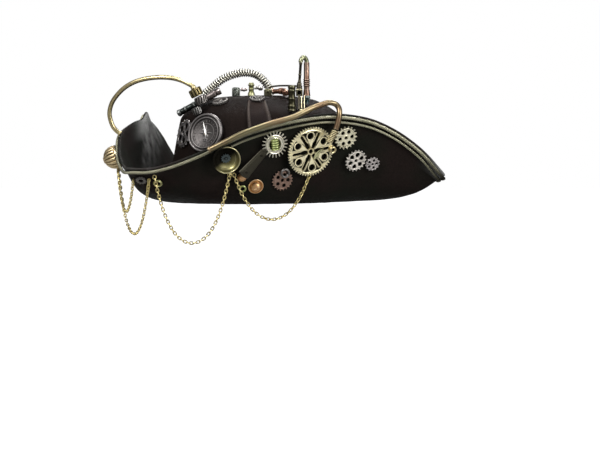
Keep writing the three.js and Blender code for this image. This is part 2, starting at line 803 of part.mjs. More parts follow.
for (let rib = 0; rib < 3; rib++) {
  const low = 3.2 + rib * 2.4;
  LEG_ROWS.push([3.4, low + 0.5], [3.4, low + 1.1], [2.7, low + 1.6]);
}
LEG_ROWS.push([2.7, BEND_HEIGHT - GAP - 105.8], [0, BEND_HEIGHT - GAP - 105.8]);
stand(
  add("pipe_copper_leg", turned(LEG_ROWS, 10), COPPER),
  copperLeg.across,
  copperLeg.deep,
  105.8,
);
const CONE_ROWS = [[0, 0], [3.6, 0], [3.6, 0.9], [2.9, 5.6], [0, 5.6]];
stand(add("copper_cone", turned(CONE_ROWS, 12), COPPER), copperLeg.across, copperLeg.deep, 99.85);
const COLLAR_FOOT = 91.8;
const STAND_ROWS = [
  [0, 0], [2.6, 0], [2.6, 4.4], [3.5, 5], [3.5, 5.8], [3, 6.2], [3.5, 6.6], [3.5, 7.7], [0, 7.7],
];
stand(
  add("ribbed_collar", turned(STAND_ROWS, 10), STEEL),
  copperLeg.across,
  copperLeg.deep,
  COLLAR_FOOT,
);

// The brim tube lies outside the left rim, rises off it and bends down over the flap
const BRIM_TUBE_RADIUS = 2.6;
const BRIM_TUBE_ROWS = [
  { along: 0.247, out: 7, rise: -0.9 },
  { along: 0.285, out: 7, rise: -0.7 },
  { along: 0.329, out: 7, rise: 0.2 },
  { along: 0.363, out: 7, rise: 0.6 },
  { along: 0.399, out: 7.2, rise: 1.4 },
  { along: 0.439, out: 7.2, rise: 1.8 },
  { along: 0.462, out: 7, rise: 2.5 },
  { along: 0.493, out: 6.2, rise: 5.5 },
  { along: 0.516, out: 5, rise: 7.7 },
  { along: 0.54, out: 4.6, rise: 9.6 },
  { along: 0.563, out: 4.6, rise: 11 },
  { along: 0.58, out: 4.8, rise: 9.2 },
  { along: 0.5865, out: 6.4, rise: 5.6 },
  { along: 0.5865, out: 7.9, rise: 1.4 },
  { along: 0.582, out: 8.4, rise: -7 },
  { along: 0.576, out: 8, rise: -13.6 },
];
function besideRim({ along, out, rise }) {
  const step = 0.01;
  const ahead = flapPoint(1, along + step, 1).sub(flapPoint(1, along - step, 1)).setZ(0);
  const outwards = ahead.cross(at(0, 0, 1)).normalize();
  return flapPoint(1, along, 1)
    .addScaledVector(outwards, out)
    .add(at(0, 0, rise));
}
add("brim_tube", tube(BRIM_TUBE_ROWS.map(besideRim), BRIM_TUBE_RADIUS, 6, 28), BRASS);

// Pieces on the left flap's outer face
const onFlap = (along, up, halfSize) => flapFrame(1, along, up, halfSize);

// The clock gear: six bosses round a starred centre
const clockShape = gearOutline(23.6, 1.7, 48, true);
cutRing(clockShape, 6, 15.4, 3.2, 30);
cutSlots(clockShape, 6, 5.2, 18.8, 2.1);
cutRing(clockShape, 1, 0, 3);
const clockGear = seat(
  add("clock_gear", plate(clockShape, 2), PALE_GOLD),
  onFlap(0.51, 0.767, 20),
  disc(23.6),
  [brim, edgeCord, secondCord],
  { swing: 6, spin: 4 },
);
function leafShape() {
  const leaf = new THREE.Shape();
  leaf.moveTo(-6.5, -2.5);
  leaf.quadraticCurveTo(-1, 4.6, 6.5, 3.2);
  leaf.quadraticCurveTo(1.5, 0.6, -0.5, -2.6);
  leaf.quadraticCurveTo(-3.2, -3.4, -6.5, -2.5);
  return leaf;
}
seat(
  add("gold_leaf", plate(leafShape(), 1.4), CHAIN_GOLD),
  onFlap(0.532, 0.741, 6),
  disc(7),
  [clockGear],
  { swing: 6, spin: 20 },
);

// The gears behind it towards the rear corner
const gearTwoShape = gearOutline(11.4, 1.9, 18, true);
cutRing(gearTwoShape, 1, 0, 1.5);
cutRing(gearTwoShape, 6, 6, 1.45, 15);
const gearTwo = seat(
  add("gear_two", plate(gearTwoShape, 1.8), PALE_GOLD),
  onFlap(0.617, 0.864, 9),
  disc(11.4),
  [brim, secondCord],
  { swing: 8 },
);
const gearThreeShape = gearOutline(10.9, 1.7, 18, true);
cutRing(gearThreeShape, 1, 0, 1.7);
cutWindows(gearThreeShape, 6, 3.5, 7.9, 0.36, 30);
seat(
  add("gear_three", plate(gearThreeShape, 1.8), SILVER),
  onFlap(0.665, 0.7, 9),
  disc(10.9),
  [brim],
  { swing: 8 },
);
const gearFourShape = gearOutline(7.1, 1.1, 13, true);
cutRing(gearFourShape, 1, 0, 1.2);
cutWindows(gearFourShape, 5, 2.5, 5.2, 0.38, 90);
seat(
  add("gear_four", plate(gearFourShape, 1.6), PEWTER),
  onFlap(0.736, 0.696, 6),
  disc(7.1),
  [brim],
  { swing: 6 },
);

// The long-toothed gear, its turned hub and the lever over it
const longShape = gearOutline(12.6, 3.2, 22, true);
cutRing(longShape, 1, 0, 5.6);
const longGear = seat(
  add("long_tooth_gear", plate(longShape, 1.6), SILVER),
  onFlap(0.407, 0.866, 9),
  disc(12.6),
  [brim, secondCord],
  { swing: 4 },
);
const HUB_ROWS = [
  [0, 0], [4.6, 0], [4.6, 3], [3.6, 3.8], [3.6, 4.8], [4.2, 5.4], [4.2, 7.4], [3, 8.4], [0, 8.4],
];
seat(
  add("turned_hub", turned(HUB_ROWS, 10), OLIVE_BRONZE),
  onFlap(0.407, 0.866, 9),
  disc(4.6),
  [brim],
  { swing: 4 },
);
function leverShape() {
  const half = 17;
  const lever = new THREE.Shape();
  lever.moveTo(-half, -5.6);
  lever.lineTo(half - 4, -3.6);
  lever.lineTo(half, 0);
  lever.lineTo(half - 4, 3.6);
  lever.lineTo(-half, 5.6);
  lever.lineTo(-half - 3, 0);
  return lever;
}
seat(
  add("lever", plate(leverShape(), 2.2), DARK_BRONZE),
  onFlap(0.346, 0.758, 12),
  slab(20, 9),
  [brim, longGear],
  { spin: 38 },
);

// The watch dish with a small gear in it
const DISH_ROWS = [
  [0, 0], [4.6, 0], [9.8, 2.1], [12.6, 6.2], [12.9, 8], [11.9, 8], [11.4, 6.4], [9.1, 3.3],
  [4.5, 1.4], [0, 1.4],
];
const dishFrame = onFlap(0.279, 0.862, 6);
const dish = seat(add("watch_dish", turned(DISH_ROWS, 14), BRASS), dishFrame, disc(5.2), [brim], {
  extra: 0.2,
});
const dishGearShape = gearOutline(4.4, 0.9, 12, true);
cutRing(dishGearShape, 1, 0, 1.2);
const dishGear = add("dish_gear", plate(dishGearShape, 1.2), PEWTER);
seat(dishGear, dishFrame, disc(4.6), [dish]);

// The copper gear low on the flap with a pewter ring over its edge
const copperShape = gearOutline(10.2, 1.3, 20, true);
cutRing(copperShape, 1, 0, 1.6);
cutRing(copperShape, 5, 5.3, 1.5);
const copperGear = seat(
  add("copper_gear", plate(copperShape, 1.6), COPPER),
  onFlap(0.427, 0.516, 8),
  disc(10.2),
  [brim],
);
seat(
  add("pewter_ring", wireRing(3.6, 1.1, 12), PEWTER),
  onFlap(0.434, 0.5975, 4),
  disc(4.8),
  [brim, copperGear],
);

// Dome rivets with a washer, and small rings
const RIVET_ROWS = [[0, 0], [4.4, 0], [4.4, 1], [3.4, 2.8], [1.6, 3.8], [0, 4]];
seat(add("rivet_front", turned(RIVET_ROWS, 12), COPPER), onFlap(0.309, 0.605, 4), disc(4.5), [brim]);
const WASHER_ROWS = [
  [0, 0], [7.2, 0], [7.2, 1.1], [5, 1.1], [4.6, 2.2], [3.4, 3.9], [1.6, 4.8], [0, 5],
];
seat(add("rivet_rear", turned(WASHER_ROWS, 12), COPPER), onFlap(0.344, 0.467, 6), disc(7.3), [brim]);
seat(add("dark_ring", wireRing(2.8, 0.9, 10), DARK_BRONZE), onFlap(0.303, 0.455, 3), disc(3.8), [
  brim,
]);
const frontShape = gearOutline(5.2, 0.9, 12, true);
cutRing(frontShape, 1, 0, 2.2);
seat(add("front_ring_gear", plate(frontShape, 1.2), PEWTER), onFlap(0.014, 0.765, 4), disc(5.3), [
  brim,
]);
seat(add("front_bronze_ring", wireRing(3.4, 1.1, 12), DARK_BRONZE), onFlap(0.068, 0.715, 4), disc(4.6), [
  brim,
]);

// The spring ferrule at the brim tube's end, and the eye beside it
const ferruleStart = besideRim({ along: 0.5752, out: 7.9, rise: -14.9 });
const ferruleEnd = besideRim({ along: 0.558, out: 6.8, rise: -25.5 });
aim(
  add("tube_ferrule", ribbed(2.5, 0.7, ferruleStart.distanceTo(ferruleEnd), 5, 8), BRASS),
  ferruleStart,
  ferruleEnd,
);
seat(add("eye_ring", wireRing(2.4, 1, 10), BRASS), onFlap(0.582, 0.772, 3), disc(3.5), [
  brim,
  clockGear,
  gearTwo,
]);

// The ribbed dome on the right flap's outer face
const DOME_ROWS = [
  [0, 0], [9.6, 0], [11, 1.2], [11.2, 4.4], [10.6, 7.8], [9, 11], [6.3, 13.6], [3.1, 15.1], [0, 15.5],
];
const domeFrame = flapFrame(-1, 0.287, 0.873, 10);
const dome = seat(add("ribbed_dome", turned(DOME_ROWS, 14), BRASS), domeFrame, disc(11.2), [
  brim,
  edgeCord,
  secondCord,
]);

// The points of a chain that hangs between two ends down to a lowest height, as a catenary.
function hang(from, to, lowest) {
  const run = to.clone().sub(from).setZ(0);
  const span = run.length();
  const ahead = run.normalize();
  const fromDrop = from.z - lowest;
  const toDrop = to.z - lowest;
  const reach = (pull, drop) => pull * Math.acosh(1 + drop / pull);
  let slack = 0.5;
  let tight = 5000;
  for (let turn = 0; turn < 50; turn++) {
    const pull = (slack + tight) / 2;
    if (reach(pull, fromDrop) + reach(pull, toDrop) < span) slack = pull;
    else tight = pull;
  }
  const start = -reach(tight, fromDrop);
  const arc = (along) => tight * Math.sinh(along / tight);
  const length = arc(start + span) - arc(start);
  const steps = Math.round(length / CHAIN_STEP);
  return Array.from({ length: steps + 1 }, (_, step) => {
    const travelled = arc(start) + (length * step) / steps;
    const along = tight * Math.asinh(travelled / tight);
    const point = from.clone().addScaledVector(ahead, along - start);
    return point.setZ(lowest + tight * (Math.cosh(along / tight) - 1));
  });
}

// A point that stands off the felt's outer face by a little more than the chain's own radius.
function offFelt(side, along, up) {
  const proud = BRIM_WALL / 2 + GAP + CHAIN_RADIUS + 0.2;
  return at(0, 0, proud).applyMatrix4(flapFrame(side, along, up, 3));
}
// A point under the dome, at a distance out from the felt.
const underDome = (out, aside) =>
  at(aside, -11.3, out).applyMatrix4(dome.matrixWorld).add(at(0, 0, -CHAIN_RADIUS - GAP - 0.6));
const CHAIN_ROWS = [
  { name: "chain_short", from: underDome(5, 2.4), to: offFelt(-1, 0.03, 0.78), lowest: -8.7 },
  { name: "chain_left", from: underDome(5, -2.4), to: offFelt(1, 0.049, 0.798), lowest: -29.3 },
  { name: "chain_front", from: offFelt(1, 0.081, 0.875), to: offFelt(1, 0.277, 0.673), lowest: -35.3 },
  { name: "chain_side", from: offFelt(1, 0.289, 0.659), to: offFelt(1, 0.513, 0.54), lowest: -14.2 },
];
for (const { name, from, to, lowest } of CHAIN_ROWS) {
  const points = hang(from, to, lowest);
  add(name, tube(points, CHAIN_RADIUS, 8, points.length - 1), CHAIN_GOLD);
}

export default hat;
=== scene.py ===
"""Looks of a three-cornered hat dressed with clock parts, built round its packed frame."""
import logging
import math
import random
from collections.abc import Callable
from dataclasses import dataclass
from enum import Enum

import bmesh
import bpy
import numpy as np
from mathutils import Matrix, Vector, noise
from mathutils.bvhtree import BVHTree
from mathutils.geometry import tessellate_polygon


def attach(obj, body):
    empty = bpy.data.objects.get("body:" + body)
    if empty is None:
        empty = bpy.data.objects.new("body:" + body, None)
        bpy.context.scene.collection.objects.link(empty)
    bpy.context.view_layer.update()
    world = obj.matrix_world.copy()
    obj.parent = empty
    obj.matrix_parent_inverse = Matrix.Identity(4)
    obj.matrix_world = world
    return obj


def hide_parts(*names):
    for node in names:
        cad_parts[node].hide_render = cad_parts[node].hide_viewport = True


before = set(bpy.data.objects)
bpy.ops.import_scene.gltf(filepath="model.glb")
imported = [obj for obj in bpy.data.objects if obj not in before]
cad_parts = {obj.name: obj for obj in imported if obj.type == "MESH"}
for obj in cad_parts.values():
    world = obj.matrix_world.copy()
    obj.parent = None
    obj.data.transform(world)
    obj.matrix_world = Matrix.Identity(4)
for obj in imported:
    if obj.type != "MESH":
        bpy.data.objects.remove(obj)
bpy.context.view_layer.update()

LOG = logging.getLogger("hat")
MM = 0.001
BODY = "root"
DRESSING_TURN = math.radians(42)
HEAD_HALF_WIDTH = 84.0
HEAD_HALF_LENGTH = 101.0
BRIM_WALL = 2.4
UP = np.array([0.0, 0.0, 1.0])
TURN = 2 * math.pi
Array = np.ndarray
Socket = bpy.types.NodeSocket
Rgb = tuple[float, float, float]
Rows = tuple[tuple[float, ...], ...]


class Side(Enum):
    """The wearer's two sides, as the sign of x."""

    LEFT = 1
    RIGHT = -1


class Tooth(Enum):
    """Tooth shapes of the gears, as the shares of the pitch where a tooth's corners lie."""

    POINTED = (0.12, 0.38, 0.5, 0.76)
    FINE = (0.1, 0.42, 0.58, 0.9)
    SPIKE = (0.22, 0.34, 0.5, 0.62)


def dressed(across: float, deep: float, height: float) -> Array:
    """A point of the crown's dressing, from its place across the front, away from it and up."""
    c, s = math.cos(DRESSING_TURN), math.sin(DRESSING_TURN)
    return np.array([across * c - deep * s, across * s + deep * c, height])


def unit(vectors: Array) -> Array:
    """Vectors scaled to length one along their last axis."""
    return vectors / np.maximum(np.linalg.norm(vectors, axis=-1, keepdims=True), 1e-9)


def spline(rows: Rows, count: int, power: float = 0.25, even: bool = True) -> Array:
    """A smooth curve through points.

    Args:
        rows: the points.
        count: how many points to give back.
        power: 0.25 for centripetal spacing, 0 for uniform.
        even: whether the result is evenly spaced along its length.

    Returns:
        The curve's points, one row each.
    """
    p = np.asarray(rows, float)
    p = np.vstack([2 * p[0] - p[1], p, 2 * p[-1] - p[-2]])
    spans = len(p) - 3
    at = np.linspace(0, spans, count if not even else count * 6)
    low = np.minimum(at.astype(int), spans - 1)
    f = (at - low)[:, None]
    p0, p1, p2, p3 = (p[low + k] for k in range(4))
    gap = [np.maximum(((b - a) ** 2).sum(1)[:, None] ** power, 1e-6)
           for a, b in ((p0, p1), (p1, p2), (p2, p3))]
    t1 = ((p1 - p0) / gap[0] - (p2 - p0) / (gap[0] + gap[1]) + (p2 - p1) / gap[1]) * gap[1]
    t2 = ((p2 - p1) / gap[1] - (p3 - p1) / (gap[1] + gap[2]) + (p3 - p2) / gap[2]) * gap[1]
    curve = (p1 + t1 * f + (3 * (p2 - p1) - 2 * t1 - t2) * f**2
             + (2 * (p1 - p2) + t1 + t2) * f**3)
    return evenly(curve, count) if even else curve


def evenly(curve: Array, count: int) -> Array:
    """The same curve through a number of evenly spaced points."""
    far = np.concatenate([[0], np.cumsum(np.linalg.norm(np.diff(curve, axis=0), axis=1))])
    return np.stack([np.interp(np.linspace(0, far[-1], count), far, column) for column in curve.T], 1)


def length_of(curve: Array) -> float:
    """The length of a curve through points."""
    return float(np.linalg.norm(np.diff(curve, axis=0), axis=1).sum())


@dataclass
class Form:
    """A mesh in the making, in millimetres."""

    points: Array
    faces: list

    def placed(self, place: Array) -> "Form":
        """The form moved by a 4 by 4 matrix."""
        return Form(self.points @ place[:3, :3].T + place[:3, 3], self.faces)

    def lifted(self, height: float) -> "Form":
        """The form raised along its own z axis."""
        return Form(self.points + UP * height, self.faces)

    def shifted(self, x: float, y: float, z: float = 0.0) -> "Form":
        """The form moved in its own frame."""
        return Form(self.points + np.array([x, y, z]), self.faces)

    def turned(self, angle: float) -> "Form":
        """The form turned about its own z axis by an angle in radians."""
        return self.placed(np.array(Matrix.Rotation(angle, 4, "Z")))


def together(*forms: Form) -> Form:
    """Several forms as one."""
    points, faces, start = [], [], 0
    for form in forms:
        points.append(form.points)
        faces += [tuple(index + start for index in face) for face in form.faces]
        start += len(form.points)
    return Form(np.vstack(points), faces)


def grid(rows: Array, around: bool = False, along: bool = False, capped: bool = False) -> Form:
    """A surface through rows of points.

    Args:
        rows: points as an array of rows, columns and coordinates.
        around: whether each row closes on itself.
        along: whether the last row joins the first.
        capped: whether the first and last rows are filled.

    Returns:
        The surface.
    """
    n, m = rows.shape[:2]
    faces = []
    for i in range(n if along else n - 1):
        j = (i + 1) % n
        for k in range(m if around else m - 1):
            q = (k + 1) % m
            faces.append((i * m + k, i * m + q, j * m + q, j * m + k))
    if capped:
        faces.append(tuple(reversed(range(m))))
        faces.append(tuple(range((n - 1) * m, n * m)))
    return Form(rows.reshape(-1, 3), faces)


def frames(path: Array, closed: bool = False) -> tuple[Array, Array, Array]:
    """Directions that follow a path without twisting about it.

    Args:
        path: the path's points.
        closed: whether the path joins up.

    Returns:
        The direction ahead and two directions square to it, for each point.
    """
    if closed:
        ahead = unit(np.roll(path, -1, 0) - np.roll(path, 1, 0))
    else:
        ahead = unit(np.gradient(path, axis=0))
    first = np.cross(ahead[0], UP if abs(ahead[0][2]) < 0.9 else [1.0, 0, 0])
    side = [unit(first)]
    for k in range(1, len(path)):
        side.append(unit(side[-1] - ahead[k] * (side[-1] @ ahead[k])))
    side = np.array(side)
    over = np.cross(ahead, side)
    if closed:
        last = unit(side[-1] - ahead[0] * (side[-1] @ ahead[0]))
        twist = math.atan2(last @ over[0], last @ side[0])
        angle = -twist * np.arange(len(path))[:, None] / len(path)
        side, over = side * np.cos(angle) + over * np.sin(angle), over * np.cos(angle) - side * np.sin(angle)
    return ahead, side, over


def sweep(path: Array, radius: float | Array, sides: int = 16, closed: bool = False) -> Form:
    """A round wire or tube along a path.

    Args:
        path: the points of its centre line.
        radius: one radius, or one for each point.
        sides: how many sides its section has.
        closed: whether it joins up.

    Returns:
        The tube, capped where it is open.
    """
    _, side, over = frames(path, closed)
    across, up = circle(1, sides=sides).T[..., None]
    reach = np.broadcast_to(np.asarray(radius, float), (len(path),))[:, None, None]
    ring = side[:, None] * across + over[:, None] * up
    return grid(path[:, None] + ring * reach, around=True, along=closed, capped=not closed)


def coil(path: Array, reach: float, wire: float, turns: int, steps: int = 14, sides: int = 7,
         closed: bool = False, start: float = 0.0) -> Form:
    """A wire wound round a path.

    Args:
        path: the points of the coil's centre line.
        reach: the distance from it to the wire's centre.
        wire: the wire's radius.
        turns: how many turns it makes.
        steps: how many points a turn has.
        sides: how many sides the wire has.
        closed: whether the path joins up.
        start: the share of a turn that it starts at.

    Returns:
        The wire.
    """
    count = turns * steps
    dense = np.vstack([path, path[:1]]) if closed else path
    line = evenly(dense, count + 1)[: count if closed else count + 1]
    _, side, over = frames(line, closed)
    angle = (np.arange(len(line)) / steps + start)[:, None] * TURN
    return sweep(line + reach * (side * np.cos(angle) + over * np.sin(angle)), wire, sides, closed)


def softened(rows: Rows, cut: float) -> Array:
    """A turned profile with each corner cut by a narrow bevel.

    Args:
        rows: radius and height of each corner.
        cut: the bevel's reach along each edge.

    Returns:
        The new corners.
    """
    p = np.asarray(rows, float)
    out = [p[0]]
    for before, here, after in zip(p, p[1:], p[2:]):
        back, ahead = before - here, after - here
        reach = min(cut, np.linalg.norm(back) * 0.4, np.linalg.norm(ahead) * 0.4)
        if reach < 1e-6:
            out.append(here)
            continue
        out += [here + unit(back) * reach, here + unit(ahead) * reach]
    return np.array(out + [p[-1]])


def lathe(rows: Rows, sides: int = 40, cut: float = 0.22) -> Form:
    """A turned piece along z.

    Args:
        rows: radius and height of each corner, from the axis back to the axis.
        sides: how many sides it has.
        cut: the bevel on its corners.

    Returns:
        The piece.
    """
    profile = softened(rows, cut)[1:-1]
    levels = np.broadcast_to(profile[:, 1:, None], (len(profile), sides, 1))
    points = np.concatenate([profile[:, None, :1] * circle(1, sides=sides), levels], 2)
    return grid(points, around=True, capped=True)


def ring_of(radius: float, wire: float, height: float, sides: int = 36, wire_sides: int = 10) -> Form:
    """A round ring of wire square to z; radius and height are those of the wire's centre."""
    path = np.column_stack([circle(radius, sides=sides), np.full(sides, height)])
    return sweep(path, wire, wire_sides, closed=True)


def inset(loop: Array, reach: float) -> Array:
    """A closed outline moved to its own left.

    Args:
        loop: the outline's corners.
        reach: how far it moves.

    Returns:
        The new corners.
    """
    ahead = unit(np.roll(loop, -1, 0) - loop)
    left = np.stack([-ahead[:, 1], ahead[:, 0]], 1)
    before = np.roll(left, 1, 0)
    spread = np.maximum(1 + (left * before).sum(1, keepdims=True), 0.5)
    return loop + (left + before) / spread * reach


def wound(loop: Array, outline: bool) -> Array:
    """A loop wound so that the metal lies on its left."""
    x, y = loop.T
    area = (x * np.roll(y, -1) - y * np.roll(x, -1)).sum()
    return loop if (area > 0) == outline else loop[::-1]


def plate(loops: list, thickness: float, cut: float = 0.18) -> Form:
    """A flat pierced plate standing on z = 0, with bevelled edges.

    Args:
        loops: its outline and then each opening.
        thickness: its thickness.
        cut: the bevel along every edge.

    Returns:
        The plate.
    """
    points, faces, tops, start = [], [], [], 0
    for number, loop in enumerate(loops):
        loop = wound(np.asarray(loop, float), number == 0)
        narrow = inset(loop, cut)
        n = len(loop)
        rings = [(narrow, 0.0), (loop, cut), (loop, thickness - cut), (narrow, thickness)]
        for ring, height in rings:
            points.append(np.column_stack([ring, np.full(n, height)]))
        for level in range(3):
            for k in range(n):
                a, b = start + level * n + k, start + level * n + (k + 1) % n
                faces.append((a, b, b + n, a + n))
        tops.append((narrow, start))
        start += 4 * n
    flat = [[Vector((x, y, 0)) for x, y in ring] for ring, _ in tops]
    owner = [(first + k, len(ring)) for ring, first in tops for k in range(len(ring))]
    corners = np.vstack([ring for ring, _ in tops])
    for triangle in tessellate_polygon(flat):
        (ax, ay), (bx, by), (cx, cy) = (corners[k] for k in triangle)
        if (bx - ax) * (cy - ay) < (by - ay) * (cx - ax):
            triangle = triangle[::-1]
        faces.append(tuple(owner[k][0] + 3 * owner[k][1] for k in triangle))
        faces.append(tuple(owner[k][0] for k in reversed(triangle)))
    return Form(np.vstack(points), faces)


def circle(radius: float, x: float = 0.0, y: float = 0.0, sides: int = 24) -> Array:
    """The outline of a round hole or disc."""
    angle = np.arange(sides) * TURN / sides
    return np.stack([x + radius * np.cos(angle), y + radius * np.sin(angle)], 1)


def polar(reach: float, angle: float) -> tuple[float, float]:
    """A flat point at a distance and an angle in radians."""
    return reach * math.cos(angle), reach * math.sin(angle)


def gear_outline(radius: float, height: float, teeth: int, tooth: Tooth) -> Array:
    """The outline of a gear.

    Args:
        radius: the reach of its teeth.
        height: how tall a tooth is.
        teeth: how many it has.
        tooth: the tooth's shape.

    Returns:
        Its corners.
    """
    a, b, c, d = tooth.value
    pitch = TURN / teeth
    corners = []
    for k in range(teeth):
        for reach, share in ((radius - height, a), (radius, b), (radius, c), (radius - height, d)):
            corners.append(polar(reach, (k + share) * pitch))
        corners.append(polar(radius - height, (k + (d + a + 1) / 2) * pitch))
    return np.array(corners)


def hole_ring(count: int, reach: float, radius: float, start: float = 0.0, sides: int = 18) -> list:
    """Outlines of round holes on a ring of a given reach, the first at start in degrees."""
    angles = [math.radians(start) + k * TURN / count for k in range(count)]
    return [circle(radius, *polar(reach, angle), sides=sides) for angle in angles]


def petals(count: int, inner: float, outer: float, solid: float, start: float = 0.0) -> list:
    """Openings between spokes, pointed towards the hub and round at the rim.

    Args:
        count: how many.
        inner: the reach of the points.
        outer: the reach of the round ends.
        solid: the share of the pitch that stays metal.
        start: the first opening's angle in degrees.

    Returns:
        The openings' outlines.
    """
    pitch = TURN / count
    loops = []
    for k in range(count):
        middle = math.radians(start) + k * pitch
        half = pitch * (1 - solid) / 2
        radius = min(outer * math.sin(half), (outer - inner) * 0.45)
        centre = outer - radius
        tip = np.array(polar(inner, middle))
        sweep_angle = np.linspace(-2.0, 2.0, 13)
        arc = [np.array(polar(centre, middle)) + np.array(polar(radius, middle + a)) for a in sweep_angle]
        aside = np.array(polar(0.35, middle + math.pi / 2))
        loops.append(np.array([tip + aside, tip - aside, *arc]))
    return loops


def rectangle(half_x: float, half_y: float) -> Array:
    """The outline of a rectangle about the middle."""
    return np.array([(-half_x, -half_y), (half_x, -half_y), (half_x, half_y), (-half_x, half_y)])


def ramp(values: Array, start: float, span: float) -> Array:
    """A share that climbs from 0 at start to 1 a span further on, and stays there."""
    return np.clip((values - start) / span, 0, 1)


def bell(values: Array, middle: float, spread: float) -> Array:
    """A share that is 1 at the middle and dies away on both sides."""
    return np.exp(-(((values - middle) / spread) ** 2))


def waves(points: Array, fineness: float) -> Array:
    """Smooth noise at each point; the higher the fineness, the shorter its waves."""
    values = [noise.noise(Vector(point * fineness)) for point in points.reshape(-1, 3)]
    return np.array(values).reshape(points.shape[:-1])


def smoothed(loop: Array, times: int) -> Array:
    """A closed row of points, each drawn halfway to its neighbours a number of times."""
    for _ in range(times):
        loop = loop * 0.5 + (np.roll(loop, 1, 0) + np.roll(loop, -1, 0)) * 0.25
    return loop


def fluted(rows: Rows, depth: float, flutes: int, twist: float = 0.0, levels: int = 1) -> Form:
    """A turned piece along z with rounded ribs and narrow grooves between them.

    Args:
        rows: radius, height and share of the full groove depth at each corner.
        depth: how deep the grooves are.
        flutes: how many there are.
        twist: the angle in radians that the grooves turn over the whole height.
        levels: how many rings stand in for each step between rows.

    Returns:
        The piece.
    """
    table = np.asarray(rows, float)
    at = np.linspace(0, len(table) - 1, (len(table) - 1) * levels + 1)
    table = np.stack([np.interp(at, np.arange(len(table)), column) for column in table.T], 1)
    sides = flutes * 8
    angle = np.arange(sides) * TURN / sides
    groove = (1 - np.abs(np.sin(angle * flutes / 2))) ** 1.6
    span = max(table[-1, 1] - table[0, 1], 1e-6)
    rings = []
    for radius, height, share in table:
        turn = angle + twist * (height - table[0, 1]) / span
        reach = np.maximum(radius - depth * share * groove, 0.02)
        rings.append(np.stack([reach * np.cos(turn), reach * np.sin(turn), np.full(sides, height)], 1))
    return grid(np.array(rings), around=True, capped=True)


def sleeve_rows(radius: float, length: float, depth: float) -> list:
    """The rows of a fluted sleeve with a plain lip at each end."""
    lip = radius - depth * 0.3
    return [(lip - 0.5, 0, 0), (lip, 0.25, 0), (lip, 0.7, 0), (radius, 1.0, 1), (radius, length - 1.0, 1),
            (lip, length - 0.7, 0), (lip, length - 0.25, 0), (lip - 0.5, length, 0)]


def on_axis(form: Form, height: float = 0.0) -> Form:
    """The form with its z axis laid over to run towards -y, and then raised."""
    swung = np.stack([form.points[:, 0], -form.points[:, 2], form.points[:, 1]], 1)
    return Form(swung + UP * height, form.faces)


def basis(origin: Array, out: Array, along: Array | None = None) -> Array:
    """A place whose z axis looks out.

    Args:
        origin: where it is.
        out: the way its z axis looks.
        along: the way its x axis runs, or nothing for any way square to out.

    Returns:
        A 4 by 4 matrix.
    """
    out = unit(np.asarray(out, float))
    if along is None:
        along = np.cross(UP if abs(out[2]) < 0.9 else [0.0, 1.0, 0.0], out)
    along = unit(np.asarray(along, float) - out * (np.asarray(along) @ out))
    place = np.eye(4)
    place[:3, 0], place[:3, 1], place[:3, 2], place[:3, 3] = along, np.cross(out, along), out, origin
    return place


def aimed(start: Array, end: Array) -> Array:
    """A place at start whose z axis runs to end."""
    return basis(start, end - start)


def upright(across: float, deep: float, height: float) -> Array:
    """An upright place of the crown's dressing, square to its row."""
    return basis(dressed(across, deep, height), UP, dressed(1, 0, 0))


